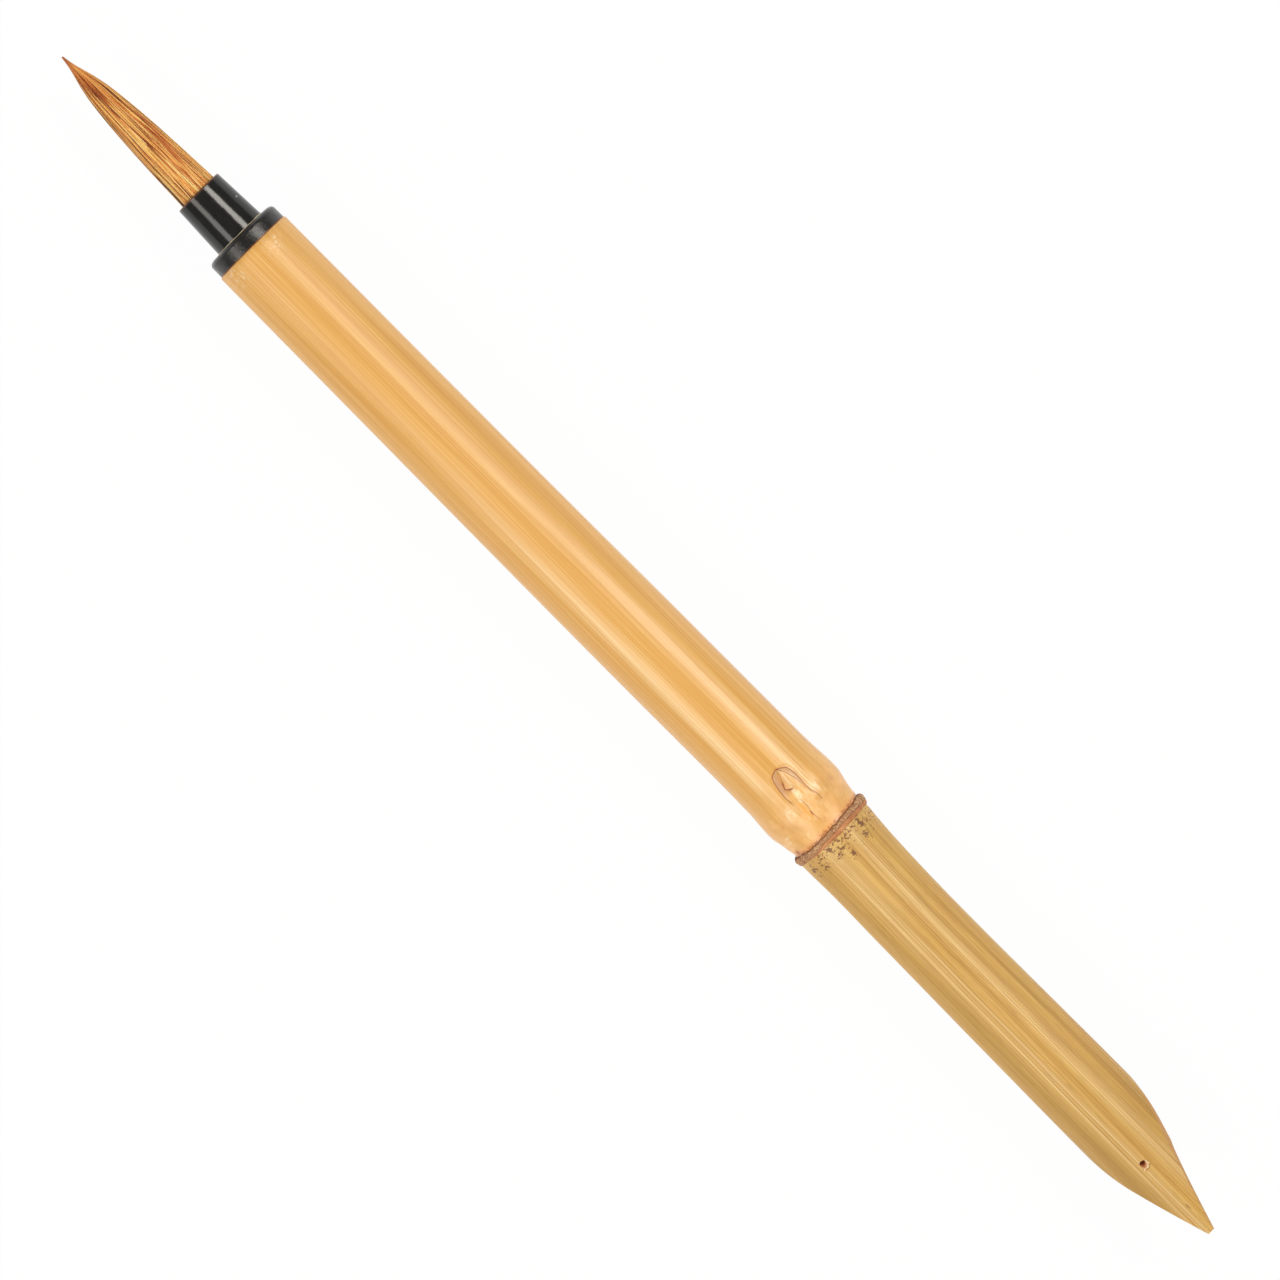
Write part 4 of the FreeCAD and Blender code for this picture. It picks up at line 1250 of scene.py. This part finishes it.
def plainHair(name):
    finish = Finish(name, plainLook)
    strand = finish.noise(finish.objectPlace(), (0.15, 6.0, 6.0), 4, 0.65)
    colour = finish.mix(strand.rises(0.35, 0.68), name, name + "Pale")
    return finish.shader(Base_Color=colour, Roughness=0.45 + 0.15 * strand, Normal=finish.bump(strand, 0.08))


def driedGlue():
    finish = Finish("driedGlue", plainLook)
    fine = finish.noise(finish.objectPlace(), (2.5, 2.5, 2.5), 3, 0.6)
    colour = finish.mix(fine.rises(0.35, 0.7), "glue", "gluePale")
    return finish.shader(Base_Color=colour, Roughness=0.4 + 0.2 * fine)


def boundThread():
    finish = Finish("boundThread", plainLook)
    along = finish.parts(finish.objectPlace())[0]
    turns = finish.maths("SINE", along * (2 * math.pi / plainLook["threadPitch"]))
    colour = finish.mix(turns.rises(-1, 0.6), "thread", "threadPale")
    return finish.shader(Base_Color=colour, Roughness=0.7 + 0.05 * turns, Normal=finish.bump(turns, 0.05))


def amberResin():
    finish = Finish("amberResin", plainLook)
    cloud = finish.noise(finish.objectPlace(), (0.8, 0.8, 0.8), 3, 0.5)
    colour = finish.mix(cloud, "resin", "resinPale")
    return finish.shader(Base_Color=colour, Roughness=0.2 + 0.15 * cloud)


light, golden = lightBamboo(), goldenHair()
put("lightInternode", lightCane(), [light], ["bamboo_cane"], sharp=50)
cutPen([greenBamboo(), cutBamboo(), ventWall()])
put("budScale", budMesh(), [light], ["bud_scale"])
put("budTip", innerScale(), [light], ["bud_tip"])
put("sheathRing", ringMesh(), [dryScale()], ["sheath_ring"], sharp=60)
put("ferruleCup", ferruleMesh(), [blackLacquer()], ["ferrule"], sharp=40)
put("collarPlug", collarMesh(), [blackPlastic()], ["collar"], sharp=40)
put("glueFillet", beadMesh(), [driedGlue()], ["glue_bead"])
put("hairBody", hairBody(), [golden], ["hair_mantle"])
put("looseHairs", looseHairs("looseHairs", **hair["loose"]), [golden])
# thin top hairs whose pale and dark tones partly paint highlights and shade
put("topHairsGlintsAndShade", looseHairs("topHairsGlintsAndShade", **hair["top"]), [golden])
put("darkHairs", darkHairs(), [plainHair("darkHair")])

inner = dict(hair_core=plainHair("coreHair"), hair_reserve=plainHair("reserveHair"),
             root_binding=boundThread(), root_resin=amberResin())
for node, material in inner.items():
    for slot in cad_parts[node].material_slots:
        slot.material = material
print("inner pieces refinished")


studio = dict(
    floorSize=3.0, floorWhite=(250, 250, 250), floorGlow=0.97, white=(1, 1, 1, 1), fill=0.27,
    # long lamps beside the brush: which side, degrees from upright, length, width, watts, shift along it
    lamps=dict(upperSoftbox=(1, 38.5, 0.5, 0.36, 5.4, 0.0), lowerSoftbox=(-1, 41.5, 1.2, 0.34, 4.9, 0.0),
               lowerSheen=(-1, 50.0, 0.6, 0.2, 1.2, 0.36)),
    lampDistance=0.95, lampColour=(1.0, 0.96, 0.885),
    cameraHeight=5.0, cameraShift=-0.0003, viewWidth=0.1872, turn=45.24, sensor=36.0,
)
middleX, middleY = [(low + high) / 2 for low, high in zip(*cadBox)][:2]


def buildFloor():
    half, level = studio["floorSize"] / 2, cadBox[0][2]
    corners = [(middleX + half * x, half * y, level) for x, y in ((-1, -1), (1, -1), (1, 1), (-1, 1))]
    mesh = bpy.data.meshes.new("floor")
    mesh.from_pydata(corners, [], [(0, 1, 2, 3)])
    floor = linked("floor", mesh)
    finish = Finish("floorPaper")
    camera, glossy, clear = (finish.node("ShaderNodeLightPath", out=f"Is {kind} Ray")
                             for kind in ("Camera", "Glossy", "Transmission"))
    seen = finish.maths("MAXIMUM", finish.maths("MAXIMUM", camera, glossy), clear)
    paper = finish.node("ShaderNodeBsdfDiffuse", inputs={"Color": linear(*studio["floorWhite"])})
    glow = finish.node("ShaderNodeEmission", inputs={"Color": studio["white"], "Strength": 1.0})
    both = finish.node("ShaderNodeMixShader", inputs={0: seen * studio["floorGlow"], 1: paper, 2: glow})
    mesh.materials.append(finish.ends(both))


def buildWorld():  # white to the camera, a weak even fill for all else
    world = bpy.data.worlds.new("studioWorld")
    bpy.context.scene.world = world
    finish = Finish("studioWorld", owner=world)
    seen = finish.node("ShaderNodeLightPath", out="Is Camera Ray")
    fill, white = (finish.node("ShaderNodeBackground", inputs={"Color": studio["white"], "Strength": power})
                   for power in (studio["fill"], 1.0))
    both = finish.node("ShaderNodeMixShader", inputs={0: seen, 1: fill, 2: white})
    finish.ends(both, "ShaderNodeOutputWorld")


def softbox(name, side, angle, length, width, power, shift):
    # a long lamp beside the brush, aimed at its middle
    data = bpy.data.lights.new(name, "AREA")
    data.shape = "RECTANGLE"
    data.size, data.size_y = length, width
    data.energy = power
    data.color = studio["lampColour"]
    lamp = linked(name, data)
    tilt = math.radians(angle) * side
    reach = studio["lampDistance"]
    lamp.location = (middleX + shift, reach * math.sin(tilt), reach * math.cos(tilt))
    lamp.rotation_euler = (-tilt, 0, 0)
    lamp.visible_camera = False


def buildCamera():
    data = bpy.data.cameras.new("camera")
    data.sensor_width = studio["sensor"]
    data.lens = studio["sensor"] * studio["cameraHeight"] / studio["viewWidth"]
    data.clip_start, data.clip_end = 0.01, 20
    camera = linked("camera", data)
    camera.location = (middleX, middleY + studio["cameraShift"], studio["cameraHeight"])
    camera.rotation_euler = (0, 0, math.radians(studio["turn"]))
    bpy.context.scene.camera = camera


buildFloor()
buildWorld()
for name, lamp in studio["lamps"].items():
    softbox(name, *lamp)
buildCamera()
bpy.context.scene.view_settings.view_transform = "Standard"
print("studio ready")
